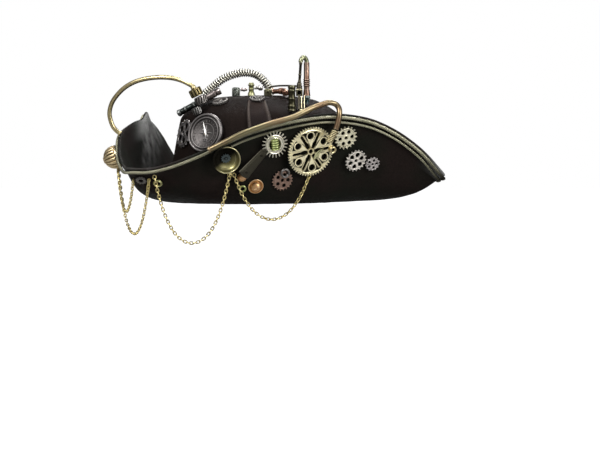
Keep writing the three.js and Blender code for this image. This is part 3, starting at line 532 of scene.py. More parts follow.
# Where each fitting sits: the middle of its foot, the way it faces, and the way its x axis runs.
SEATS = {
    "strap_medallion": ((37.44, -47.16, 96.82), (0.3154, -0.2774, 0.9075), (0.6604, 0.7509, 0)),
    "compass_case": ((11.37, -88.17, 64.28), (0.1777, -0.9547, 0.2385), (0.9831, 0.183, 0)),
    "compass_needle": ((11.86, -90.79, 64.94), (0.1777, -0.9547, 0.2385), (0.9089, 0.2522, 0.3322)),
    "side_gear": ((-19.39, -86.26, 63.99), (-0.3009, -0.9275, 0.2216), (0.9512, -0.3086, 0)),
    "oval_gear": ((5.58, -63.83, 93.64), (0.0493, -0.3898, 0.9196), (0.9921, 0.1254, 0)),
    "pewter_collar": ((41.54, -9.05, 97.98), (0.2012, -0.0303, 0.9791), (0.1491, 0.9888, 0)),
    "clock_gear": ((111.14, -54.49, 48.79), (0.9133, -0.3173, -0.2555), (0.3677, 0.912, 0.1818)),
    "gold_leaf": ((115.2, -48.14, 45.83), (0.9153, -0.3054, -0.2627), (0.3927, 0.8214, 0.4136)),
    "gear_two": ((129.15, -25.43, 61.25), (0.8761, -0.3365, -0.3453), (0.3462, 0.9375, -0.0351)),
    "gear_three": ((128.29, -10.36, 39.88), (0.8648, -0.3213, -0.3857), (0.3188, 0.945, -0.0724)),
    "gear_four": ((135.19, 5.62, 36.63), (0.7968, -0.4194, -0.4351), (0.3799, 0.9075, -0.1791)),
    "long_tooth_gear": ((97.25, -87.75, 55.39), (0.888, -0.4032, -0.2212), (0.447, 0.8697, 0.2093)),
    "turned_hub": ((94.3, -86.41, 56.13), (0.888, -0.4032, -0.2212), (0.447, 0.8697, 0.2093)),
    "lever": ((86.47, -103.46, 38.86), (0.8138, -0.5249, -0.2492), (0.5062, 0.4297, 0.7478)),
    "watch_dish": ((67.46, -121.49, 43.18), (0.7624, -0.5755, -0.2959), (0.6471, 0.6775, 0.3497)),
    "dish_gear": ((68.79, -122.49, 42.67), (0.7624, -0.5755, -0.2959), (0.6471, 0.6775, 0.3497)),
    "copper_gear": ((91.71, -71.54, 22.33), (0.8464, -0.421, -0.326), (0.4675, 0.8807, 0.0764)),
    "pewter_ring": ((96.18, -72.56, 28.78), (0.8602, -0.432, -0.271), (0.4704, 0.8773, 0.095)),
    "rivet_front": ((72.76, -105.05, 25.01), (0.7599, -0.5645, -0.3224), (0.6328, 0.7559, 0.1679)),
    "rivet_rear": ((77.86, -92.15, 16.63), (0.7596, -0.4973, -0.4191), (0.5769, 0.8128, 0.0811)),
    "dark_ring": ((69.91, -101.63, 14.72), (0.6962, -0.5342, -0.4796), (0.6455, 0.7582, 0.0926)),
    "front_ring_gear": ((3.56, -166.5, 22.53), (0.3562, -0.557, -0.7502), (0.8229, 0.5673, -0.0305)),
    "front_bronze_ring": ((15.08, -156.35, 20.28), (0.3796, -0.596, -0.7076), (0.8305, 0.5566, -0.0233)),
    "eye_ring": ((121.43, -34.67, 49.99), (0.8535, -0.4244, -0.3023), (0.4383, 0.8985, -0.0239)),
    "ribbed_dome": ((-72.22, -121.97, 42.91), (-0.7636, -0.5688, -0.3055), (0.6451, -0.6924, -0.3232)),
}


def seat(name: str) -> Array:
    """The place of a fitting, from the table of seats."""
    return basis(*(np.array(part) for part in SEATS[name]))


class Wiring:
    """Adds and joins the nodes of one shader tree."""

    def __init__(self, tree: bpy.types.NodeTree) -> None:
        """Starts on an empty tree."""
        self.tree = tree
        tree.nodes.clear()

    def add(self, kind: str, inputs: dict | None = None, **settings: object) -> bpy.types.Node:
        """Adds a node.

        Args:
            kind: the node's type, without its Shader prefix.
            inputs: values or sockets for its inputs, by name or number.
            settings: properties of the node itself.

        Returns:
            The node.
        """
        node = self.tree.nodes.new(kind if kind.startswith("Node") else "ShaderNode" + kind)
        for name, value in settings.items():
            setattr(node, name, value)
        for key, value in (inputs or {}).items():
            if isinstance(value, Socket):
                self.tree.links.new(value, node.inputs[key])
            else:
                node.inputs[key].default_value = value
        return node

    def blend(self, share: Socket, first: object, second: object) -> Socket:
        """A colour between two, by a share that changes over the surface."""
        node = self.add("Mix", {0: share, 6: first, 7: second}, data_type="RGBA")
        return node.outputs[2]

    def span(self, value: Socket, low: float, high: float, first: float = 0.0,
             last: float = 1.0) -> Socket:
        """A value stretched from one range to another and kept inside it."""
        node = self.add("MapRange", {0: value, 1: low, 2: high, 3: first, 4: last})
        return node.outputs[0]

    def times(self, first: Socket, second: object, clamped: bool = True) -> Socket:
        """The product of two values."""
        node = self.add("Math", {0: first, 1: second}, operation="MULTIPLY", use_clamp=clamped)
        return node.outputs[0]


def group(name: str, inputs: dict, outputs: dict,
          fill: Callable[[Wiring, dict], dict]) -> bpy.types.NodeTree:
    """Makes a shader node group once.

    Args:
        name: the group's name.
        inputs: the name and first value of each number it takes.
        outputs: the name and socket type of each result.
        fill: a function of the wiring and the input sockets that returns the results.

    Returns:
        The group.
    """
    tree = bpy.data.node_groups.new(name, "ShaderNodeTree")
    wiring = Wiring(tree)
    for key, value in inputs.items():
        socket = tree.interface.new_socket(key, in_out="INPUT", socket_type="NodeSocketFloat")
        socket.default_value = value
    for key, kind in outputs.items():
        tree.interface.new_socket(key, in_out="OUTPUT", socket_type=kind)
    entry = wiring.add("NodeGroupInput")
    wiring.add("NodeGroupOutput", fill(wiring, entry.outputs))
    return tree


def fill_tarnish(w: Wiring, given: dict) -> dict:
    """Wires broad blotches and fine specks, both by place on the object."""
    where = w.add("TexCoord").outputs["Object"]
    broad = w.add("TexNoise", {"Vector": where, "Scale": given["Patch Scale"], "Detail": 4.0})
    speck = w.add("TexNoise", {"Vector": where, "Scale": given["Speck Scale"], "Detail": 3.0})
    return {
        "Patches": w.span(broad.outputs[0], 0.42, 0.62),
        "Specks": w.span(speck.outputs[0], 0.5, 0.68),
        "Height": speck.outputs[0],
    }


def fill_wear(w: Wiring, given: dict) -> dict:
    """Wires rubbed edges from the surface's own sharpness, and grime from the recess mark."""
    edge = w.span(w.add("NewGeometry").outputs["Pointiness"], 0.5, 0.56)
    marked = w.add("Attribute", attribute_name="dirt_and_shade_mark").outputs["Fac"]
    return {"Edge": w.times(edge, given["Amount"]), "Dirt And Shade": w.times(marked, given["Depth"])}


def fill_grain(w: Wiring, given: dict) -> dict:
    """Wires leather grain: small cells with creases between them, and loose fibres."""
    where = w.add("TexCoord").outputs["Object"]
    bent = w.add("TexNoise", {"Vector": where, "Scale": 90.0, "Detail": 2.0}).outputs["Color"]
    moved = w.add("VectorMath", {0: bent, 1: (0.004, 0.004, 0.004), 2: where}, operation="MULTIPLY_ADD")
    cells = w.add("TexVoronoi", {"Vector": moved.outputs[0], "Scale": given["Cell Scale"]},
                  feature="DISTANCE_TO_EDGE")
    fibre = w.add("TexNoise", {"Vector": where, "Scale": given["Fibre Scale"], "Detail": 6.0,
                               "Roughness": 0.7})
    crease = w.span(cells.outputs["Distance"], 0.0, 0.12)
    height = w.add("Mix", {0: 0.45, 2: crease, 3: fibre.outputs[0]})
    broad = w.add("TexNoise", {"Vector": where, "Scale": 22.0, "Detail": 3.0})
    return {"Height": height.outputs[0], "Creases": crease,
            "Fibres": w.span(fibre.outputs[0], 0.45, 0.72), "Broad": w.span(broad.outputs[0], 0.4, 0.64)}


VALUE = "NodeSocketFloat"
TARNISH = group("tarnish", {"Patch Scale": 60.0, "Speck Scale": 900.0},
                {"Patches": VALUE, "Specks": VALUE, "Height": VALUE}, fill_tarnish)
WEAR = group("wear", {"Amount": 1.0, "Depth": 1.0}, {"Edge": VALUE, "Dirt And Shade": VALUE}, fill_wear)
GRAIN = group("grain", {"Cell Scale": 700.0, "Fibre Scale": 1500.0},
              {"Height": VALUE, "Creases": VALUE, "Fibres": VALUE, "Broad": VALUE}, fill_grain)


def solid(colour: Rgb) -> tuple[float, float, float, float]:
    """A colour with full alpha."""
    return (*colour, 1.0)


def grey(value: float) -> tuple[float, float, float, float]:
    """An even grey with full alpha."""
    return (value, value, value, 1.0)


@dataclass(frozen=True)
class Finish:
    """The look of one material, and the slot that it fills."""

    name: str
    slot: str

    def shader(self, w: Wiring) -> Socket:
        """Wires the surface; each kind of finish has its own."""
        raise NotImplementedError

    def material(self) -> bpy.types.Material:
        """Builds the material once and gives the same one back after that."""
        made = bpy.data.materials.get(self.name)
        if made is None:
            made = bpy.data.materials.new(self.name)
            made.use_nodes = True
            w = Wiring(made.node_tree)
            w.add("OutputMaterial", {0: self.shader(w)})
        return made


@dataclass(frozen=True)
class Metal(Finish):
    """A cast or stamped metal: its bright, tarnished, worn and grimy colours."""

    base: Rgb
    tarnished: Rgb
    worn: Rgb
    dirt_and_shade_colour: Rgb = (0.012, 0.011, 0.008)
    roughness: float = 0.3
    dull: float = 0.5
    grimy: float = 0.75
    amount: float = 0.8
    depth: float = 1.3
    patch_scale: float = 70.0
    speckle: float = 0.35
    pitting: float = 0.12
    pit_depth: float = 0.0003

    def shader(self, w: Wiring) -> Socket:
        """Wires tarnish in patches and specks, rubbed edges, and grime in the recesses."""
        tarnish = w.add("Group", node_tree=TARNISH)
        tarnish.inputs["Patch Scale"].default_value = self.patch_scale
        wear = w.add("Group", node_tree=WEAR)
        wear.inputs["Amount"].default_value = self.amount
        wear.inputs["Depth"].default_value = self.depth
        colour = w.blend(tarnish.outputs["Patches"], solid(self.base), solid(self.tarnished))
        speckled = w.times(tarnish.outputs["Specks"], self.speckle, False)
        colour = w.blend(speckled, colour, solid(self.tarnished))
        colour = w.blend(wear.outputs["Edge"], colour, solid(self.worn))
        # Painted shade: the dark mark blends the colour to near black, as dirt and as shade.
        colour = w.blend(wear.outputs["Dirt And Shade"], colour, solid(self.dirt_and_shade_colour))
        rough = w.span(tarnish.outputs["Patches"], 0.0, 1.0, self.roughness, self.dull)
        rough = w.add("Mix", {0: wear.outputs["Dirt And Shade"], 2: rough, 3: self.grimy}).outputs[0]
        bump = w.add("Bump", {"Height": tarnish.outputs["Height"], "Strength": self.pitting,
                              "Distance": self.pit_depth})
        return w.add("BsdfPrincipled", {"Base Color": colour, "Roughness": rough, "Metallic": 1.0,
                                        "Normal": bump.outputs[0]}).outputs[0]


@dataclass(frozen=True)
class Leather(Finish):
    """Leather-like felt: its dark ground, its cast in patches, and its pale worn fibres."""

    base: Rgb
    cast: Rgb
    fibre_and_sheen_colour: Rgb
    roughness: float = 0.72
    grain: float = 0.5
    grain_depth: float = 0.0006
    cell_scale: float = 650.0
    crease_shade: float = 0.35
    gloss: float = 0.09

    def shader(self, w: Wiring) -> Socket:
        """Wires the grain with its dark creases, and loose fibres where the felt is rubbed."""
        grain = w.add("Group", node_tree=GRAIN)
        grain.inputs["Cell Scale"].default_value = self.cell_scale
        colour = w.blend(grain.outputs["Broad"], solid(self.base), solid(self.cast))
        sunk = w.span(grain.outputs["Creases"], 0.0, 1.0, 0.45, 0.0)
        colour = w.blend(sunk, colour, solid(tuple(self.crease_shade * c for c in self.base)))
        wear_and_sheen = w.add("Attribute", attribute_name="wear_and_sheen").outputs["Fac"]
        fibres_and_sheen_share = w.times(wear_and_sheen, w.span(grain.outputs["Fibres"], 0.0, 1.0, 0.25, 1.0))
        # Pale fibres where the felt is worn, and painted sheen where the mark carries it.
        colour = w.blend(fibres_and_sheen_share, colour, solid(self.fibre_and_sheen_colour))
        rough = w.span(grain.outputs["Broad"], 0.0, 1.0, self.roughness - 0.08, self.roughness + 0.1)
        bump = w.add("Bump", {"Height": grain.outputs["Height"], "Strength": self.grain,
                              "Distance": self.grain_depth})
        return w.add("BsdfPrincipled", {"Base Color": colour, "Roughness": rough, "Metallic": 0.0,
                                        "Normal": bump.outputs[0],
                                        "Specular IOR Level": self.gloss}).outputs[0]


CROWN_LEATHER = Leather(
    "crown_leather_finish", "crown_leather", (0.0105, 0.0066, 0.0053), (0.0076, 0.0052, 0.0043),
    (0.08, 0.062, 0.053), gloss=0.05)
# The brim's pale fibre colour also paints the sheen inside the right flap.
BRIM_LEATHER = Leather(
    "brim_leather_finish", "brim_leather", (0.0088, 0.0098, 0.007), (0.0142, 0.01, 0.0088),
    (0.62, 0.62, 0.6), cell_scale=800, gloss=0.03)
STRAP_LEATHER = Leather(
    "strap_leather_finish", "strap_leather", (0.014, 0.009, 0.008), (0.03, 0.021, 0.018), (0.17, 0.14, 0.12),
    cell_scale=900)
PALE_GOLD = Metal(
    "pale_gold_finish", "pale_gold", (0.66, 0.55, 0.27), (0.34, 0.27, 0.1), (0.95, 0.86, 0.56),
    roughness=0.26)
GEAR_GOLD = Metal(
    "gear_gold", "pale_gold", (0.95, 0.87, 0.58), (0.62, 0.54, 0.3), (1, 0.96, 0.74), roughness=0.34,
    depth=0.8)
CLOCK_GOLD = Metal(
    "clock_gold", "pale_gold", (0.7, 0.6, 0.3), (0.3, 0.24, 0.09), (1, 0.92, 0.62), roughness=0.24,
    amount=1, depth=2.2)
CHAIN_GOLD = Metal(
    "chain_gold_finish", "chain_gold", (0.36, 0.29, 0.09), (0.16, 0.13, 0.04), (0.85, 0.72, 0.34),
    roughness=0.28)
BRASS = Metal("aged_brass_finish", "aged_brass", (0.36, 0.28, 0.13), (0.14, 0.12, 0.05), (0.74, 0.64, 0.38))
TUBE_GOLD = Metal(
    "tube_gold", "aged_brass", (0.23, 0.205, 0.11), (0.16, 0.09, 0.05), (0.5, 0.44, 0.28), dull=0.36,
    amount=0.3, patch_scale=26)
DISH_BRASS = Metal(
    "dish_brass", "aged_brass", (0.46, 0.42, 0.2), (0.24, 0.22, 0.09), (0.92, 0.84, 0.52), amount=0.5,
    depth=1)
NUT_BRASS = Metal(
    "nut_brass", "aged_brass", (0.11, 0.1, 0.06), (0.05, 0.045, 0.028), (0.42, 0.38, 0.24), amount=0.4)
DOME_BRASS = Metal(
    "dome_brass", "aged_brass", (0.58, 0.42, 0.22), (0.34, 0.24, 0.11), (0.92, 0.8, 0.52), depth=1.7)
OLIVE_BRONZE = Metal(
    "olive_bronze_finish", "olive_bronze", (0.2, 0.19, 0.07), (0.07, 0.07, 0.03), (0.5, 0.49, 0.24))
CAP_GOLD = Metal(
    "cap_gold", "olive_bronze", (0.22, 0.165, 0.06), (0.09, 0.07, 0.024), (0.52, 0.44, 0.24), depth=3.4,
    amount=0.45)
OLIVE_GOLD = Metal("olive_gold", "olive_bronze", (0.26, 0.25, 0.11), (0.12, 0.12, 0.05), (0.52, 0.51, 0.3))
GREEN_BRONZE = Metal("green_bronze", "olive_bronze", (0.24, 0.3, 0.08), (0.08, 0.11, 0.03), (0.6, 0.66, 0.3))
DARK_OLIVE = Metal(
    "dark_olive", "olive_bronze", (0.062, 0.057, 0.033), (0.03, 0.027, 0.017), (0.24, 0.23, 0.14), amount=0.5)
DARK_BRONZE = Metal(
    "dark_bronze_finish", "dark_bronze", (0.035, 0.03, 0.02), (0.015, 0.014, 0.011), (0.13, 0.115, 0.08),
    roughness=0.38)
LEVER_BRONZE = Metal(
    "lever_bronze", "dark_bronze", (0.01, 0.009, 0.0065), (0.0065, 0.006, 0.005), (0.06, 0.055, 0.04),
    roughness=0.5)
COPPER = Metal("copper_finish", "copper", (0.3, 0.14, 0.09), (0.12, 0.055, 0.04), (0.66, 0.38, 0.26))
DULL_COPPER = Metal(
    "dull_copper", "copper", (0.15, 0.088, 0.062), (0.08, 0.047, 0.034), (0.44, 0.32, 0.25), roughness=0.36)
BROWN_COPPER = Metal(
    "brown_copper", "copper", (0.13, 0.075, 0.055), (0.055, 0.033, 0.026), (0.34, 0.23, 0.18), roughness=0.4)
BRIGHT_COPPER = Metal(
    "bright_copper", "copper", (0.62, 0.3, 0.12), (0.34, 0.16, 0.05), (0.95, 0.7, 0.42), roughness=0.22)
PEWTER = Metal(
    "pewter_finish", "pewter", (0.15, 0.14, 0.13), (0.06, 0.056, 0.052), (0.34, 0.32, 0.3), roughness=0.4,
    amount=0.45)
DIM_PEWTER = Metal(
    "dim_pewter", "pewter", (0.115, 0.105, 0.1), (0.045, 0.042, 0.04), (0.34, 0.32, 0.31), roughness=0.4)
DIM_TEAL = Metal("dim_teal", "pewter", (0.022, 0.036, 0.037), (0.011, 0.018, 0.019), (0.13, 0.16, 0.16))
GEAR_PEWTER = Metal(
    "gear_pewter", "pewter", (0.46, 0.42, 0.4), (0.24, 0.22, 0.21), (0.72, 0.67, 0.64), roughness=0.36,
    depth=0.8)
COMPASS_PEWTER = Metal(
    "compass_pewter", "pewter", (0.19, 0.175, 0.168), (0.11, 0.1, 0.096), (0.32, 0.3, 0.29), roughness=0.42,
    amount=0.5, depth=0.8)
SILVER = Metal(
    "silver_finish", "silver", (0.5, 0.48, 0.44), (0.2, 0.19, 0.17), (0.9, 0.88, 0.84), roughness=0.22)
ROSE_STEEL = Metal(
    "rose_steel", "silver", (0.5, 0.42, 0.4), (0.24, 0.19, 0.18), (0.85, 0.78, 0.76), roughness=0.25)
HOSE_STEEL = Metal(
    "hose_steel", "silver", (0.17, 0.155, 0.145), (0.07, 0.063, 0.058), (0.52, 0.48, 0.45), depth=3.6,
    amount=0.5)
SILVER_GOLD = Metal(
    "silver_gold", "silver", (0.5, 0.46, 0.34), (0.24, 0.21, 0.14), (0.9, 0.86, 0.72), roughness=0.26)
GEAR_SILVER = Metal(
    "gear_silver", "silver", (0.92, 0.85, 0.74), (0.55, 0.49, 0.42), (1, 0.95, 0.86), roughness=0.34,
    depth=0.8)
SPRING_STEEL = Metal(
    "spring_steel", "silver", (0.32, 0.31, 0.26), (0.13, 0.125, 0.1), (0.9, 0.87, 0.74), roughness=0.26,
    depth=2.6)
DARK_STEEL = Metal(
    "dark_steel_finish", "dark_steel", (0.035, 0.04, 0.037), (0.014, 0.016, 0.015), (0.22, 0.23, 0.22))
BAR_STEEL = Metal(
    "bar_steel", "dark_steel", (0.1, 0.082, 0.077), (0.046, 0.038, 0.035), (0.38, 0.335, 0.315), amount=0.5)
BLACK_HOSE = Metal(
    "black_hose", "dark_steel", (0.07, 0.066, 0.062), (0.03, 0.028, 0.026), (0.4, 0.39, 0.37), depth=3,
    amount=0.6)
RIBBED_STEEL = Metal(
    "ribbed_steel", "dark_steel", (0.055, 0.065, 0.058), (0.026, 0.032, 0.028), (0.32, 0.34, 0.3), depth=2.6,
    amount=0.6)
TEAL_STEEL = Metal("teal_steel", "dark_steel", (0.05, 0.085, 0.085), (0.02, 0.045, 0.045), (0.32, 0.36, 0.34))
CORD_GOLD = Metal(
    "cord_gold", "antique_gold", (0.32, 0.305, 0.205), (0.15, 0.15, 0.08), (0.58, 0.56, 0.42), roughness=0.42,
    dull=0.6, amount=0.4, depth=1)
BEND_GOLD = Metal("bend_gold", "antique_gold", (0.25, 0.25, 0.14), (0.13, 0.15, 0.06), (0.46, 0.46, 0.33))


def recess_marks(mesh: bpy.types.Mesh, reach: float) -> Array:
    """How far each point of a piece is hidden in a recess of the piece itself.

    Args:
        mesh: the piece's mesh, with its faces looking out.
        reach: how near a wall counts, in millimetres.

    Returns:
        A mark from 0 in the open to 1 in a deep recess, for each point.
    """
    ray_count, lean, lift, strength = 9, 1.15, 0.03, 1.6
    points = [vertex.co.copy() for vertex in mesh.vertices]
    tree = BVHTree.FromPolygons(points, [tuple(face.vertices) for face in mesh.polygons])
    dice = np.random.default_rng(5)
    rays = unit(dice.normal(size=(ray_count, 3)))
    marks = np.zeros(len(points))
    for index, point in enumerate(points):
        normal = np.array(mesh.vertex_normals[index].vector)
        start = Vector(np.array(point) + normal * lift * MM)
        hits = [tree.ray_cast(start, Vector(ray), reach * MM)[0] for ray in unit(rays + normal * lean)]
        marks[index] = sum(hit is not None for hit in hits) / len(rays)
    return np.clip(marks * strength, 0, 1)


def mesh_of(name: str, form: Form) -> bpy.types.Mesh:
    """A mesh in metres from a form in millimetres."""
    mesh = bpy.data.meshes.new(name)
    mesh.from_pydata((form.points * MM).tolist(), [], form.faces)
    return mesh


def shown(name: str, data: bpy.types.ID) -> bpy.types.Object:
    """A new object in the scene, with its mesh, camera or light."""
    thing = bpy.data.objects.new(name, data)
    bpy.context.scene.collection.objects.link(thing)
    return thing


def face_outwards(mesh: bpy.types.Mesh) -> None:
    """Turns every face of a mesh to look out of its own closed body."""
    body = bmesh.new()
    body.from_mesh(mesh)
    bmesh.ops.recalc_face_normals(body, faces=body.faces)
    body.to_mesh(mesh)
    body.free()


def make(name: str, form: Form, finish: Finish, nodes: tuple | None = None, sharp: float = 38.0,
         marks: dict | None = None, dirt_and_shade_mark: float = 2.0) -> None:
    """Makes one piece of the hat from a form.

    Args:
        name: the piece's name.
        form: its mesh in millimetres.
        finish: its material and slot.
        nodes: the frame's nodes that it stands for, or nothing for the node of its own name.
        sharp: edges turned by more than this many degrees stay crisp.
        marks: numbers for each point, by the name that the material reads.
        recess: how near a wall counts for grime on metal, in millimetres, or 0 for none.
    """
    mesh = mesh_of(name, form)
    face_outwards(mesh)
    mesh.materials.append(finish.material())
    mesh.shade_smooth()
    mesh.set_sharp_from_angle(angle=math.radians(sharp))
    marks = dict(marks or {})
    # Metal gets dirt and painted shade where its own walls hide it.
    if isinstance(finish, Metal) and dirt_and_shade_mark:
        marks["dirt_and_shade_mark"] = recess_marks(mesh, dirt_and_shade_mark)
    for title, values in marks.items():
        layer = mesh.attributes.new(title, "FLOAT", "POINT")
        layer.data.foreach_set("value", np.asarray(values, np.float32))
    piece = shown(name, mesh)
    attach(piece, BODY)
    nodes = (name,) if nodes is None else nodes
    if nodes:
        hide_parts(*nodes)
    LOG.info("%s: %d faces", name, len(form.faces))


def fit(name: str, form: Form, finish: Finish, sharp: float = 38.0) -> None:
    """Makes a fitting in its seat on the felt."""
    make(name, form.placed(seat(name)), finish, sharp=sharp)


def stand(name: str, form: Form, finish: Finish, across: float, deep: float, height: float) -> None:
    """Makes a fitting that stands upright on the crown."""
    make(name, form.placed(upright(across, deep, height)), finish)


@dataclass
class Studio:
    """The camera at the photograph's angle, pale surroundings and soft lamps."""

    azimuth: float = 42.0
    elevation: float = 2.9
    distance: float = 2.3
    lens: float = 142.14
    sensor: float = 36.0
    near: float = 0.05
    far: float = 60.0
    aim_across: float = 0.0369
    aim_up: float = -0.02524
    floor_height: float = -0.27
    floor_reaches: tuple = (8, 3, 0.001)
    floor_sides: int = 64
    # Name, place across, away and up in metres, side in metres, and power in watts
    lamps: tuple = (
        ("key_lamp", (-1.3, -1.9, 1.7), 0.7, 60),
        ("fill_lamp", (1.8, -1.6, 0.9), 1, 46),
        ("rear_lamp", (0.5, 1.9, 1.9), 0.8, 42),
        ("top_lamp", (-0.1, -0.2, 2.2), 0.7, 24),
    )

    def camera(self) -> None:
        """Places the camera."""
        a, e = math.radians(self.azimuth), math.radians(self.elevation)
        right = Vector((math.cos(a), math.sin(a), 0))
        ahead = Vector((-math.sin(a) * math.cos(e), math.cos(a) * math.cos(e), -math.sin(e)))
        over = right.cross(ahead)
        data = bpy.data.cameras.new("camera")
        data.lens, data.sensor_width = self.lens, self.sensor
        data.clip_start, data.clip_end = self.near, self.far
        eye = shown("camera", data)
        place = right * self.aim_across + over * self.aim_up - ahead * self.distance
        turn = Matrix((right, over, -ahead)).transposed().to_4x4()
        eye.matrix_world = Matrix.Translation(place) @ turn
        bpy.context.scene.camera = eye

    def floor(self) -> None:
        """Makes the pale floor, which the eye sees white and the metal sees grey."""
        angles = np.linspace(0, TURN, self.floor_sides + 1)[:-1]
        rows = [[(math.cos(a) * r, math.sin(a) * r, 0) for a in angles] for r in self.floor_reaches]
        mesh = mesh_of("floor", grid(np.array(rows) / MM, around=True))
        floor = shown("floor", mesh)
        floor.location.z = self.floor_height
        paint = bpy.data.materials.new("pale_floor")
        paint.use_nodes = True
        w = Wiring(paint.node_tree)
        seen = w.add("LightPath").outputs["Is Camera Ray"]
        shader = w.add("BsdfPrincipled", {
            "Base Color": w.blend(seen, grey(0.32), grey(0.9)), "Roughness": 0.9,
            "Specular IOR Level": 0.1, "Emission Strength": 0.8,
            "Emission Color": w.blend(seen, grey(0), grey(1))})
        w.add("OutputMaterial", {0: shader.outputs[0]})
        mesh.materials.append(paint)

    def sky(self) -> None:
        """Makes the sky, which the eye sees white and the metal sees shaded."""
        world = bpy.data.worlds.new("studio")
        world.use_nodes = True
        bpy.context.scene.world = world
        w = Wiring(world.node_tree)
        way = w.add("SeparateXYZ", {0: w.add("TexCoord").outputs["Generated"]}).outputs["Z"]
        shade = w.blend(w.span(way, -0.1, 0.75), grey(0.04), (0.42, 0.42, 0.44, 1))
        seen = w.add("LightPath").outputs["Is Camera Ray"]
        sky = w.add("Background", {"Color": w.blend(seen, shade, grey(1)), "Strength": 1.0})
        w.add("OutputWorld", {0: sky.outputs[0]})

    def lamp(self, name: str, place: tuple, size: float, power: float) -> None:
        """Adds a soft square lamp that looks at the hat.

        Args:
            name: the lamp's name.
            place: its place across the view, away from the viewer and up, in metres.
            size: its side, in metres.
            power: its power, in watts.
        """
        data = bpy.data.lights.new(name, "AREA")
        data.energy, data.size = power, size
        lamp = shown(name, data)
        lamp.location = dressed(*place)
        lamp.rotation_euler = (-lamp.location).to_track_quat("-Z", "Y").to_euler()

    def build(self) -> None:
        """Sets up the whole studio."""
        self.camera()
        self.floor()
        self.sky()
        for lamp in self.lamps:
            self.lamp(*lamp)
        bpy.context.scene.view_settings.view_transform = "Standard"


# Half of the brim, from the front corner to the rear corner: rim point, then the fold below it.
SIDE_ROWS = (
    ((0, -182, 33), (0, -146, 12)), ((22, -164, 34), (26, -132, 10)), ((52, -141, 47), (52, -114, 7.5)),
    ((80, -112, 65.5), (74, -90, 6)), ((102, -79, 76.5), (90, -62, 6)), ((122, -45, 82.3), (101, -33, 6.5)),
    ((141, -13, 79.3), (110, -5, 5.5)), ((156, 12, 68.3), (120, 18, 5)), ((168, 38, 49.5), (131, 38, 5)),
    ((176, 63, 25.5), (144, 56, 9)),
)
# From the rear corner to the middle of the back.
BACK_ROWS = (
    ((176, 63, 25.5), (144, 56, 9)), ((158, 78, 25), (122, 68, 4)), ((132, 93, 34), (98, 85, 3)),
    ((98, 107, 47), (70, 99, 3)), ((52, 118, 60), (36, 109, 3)), ((0, 122, 65), (0, 112, 3)),
)


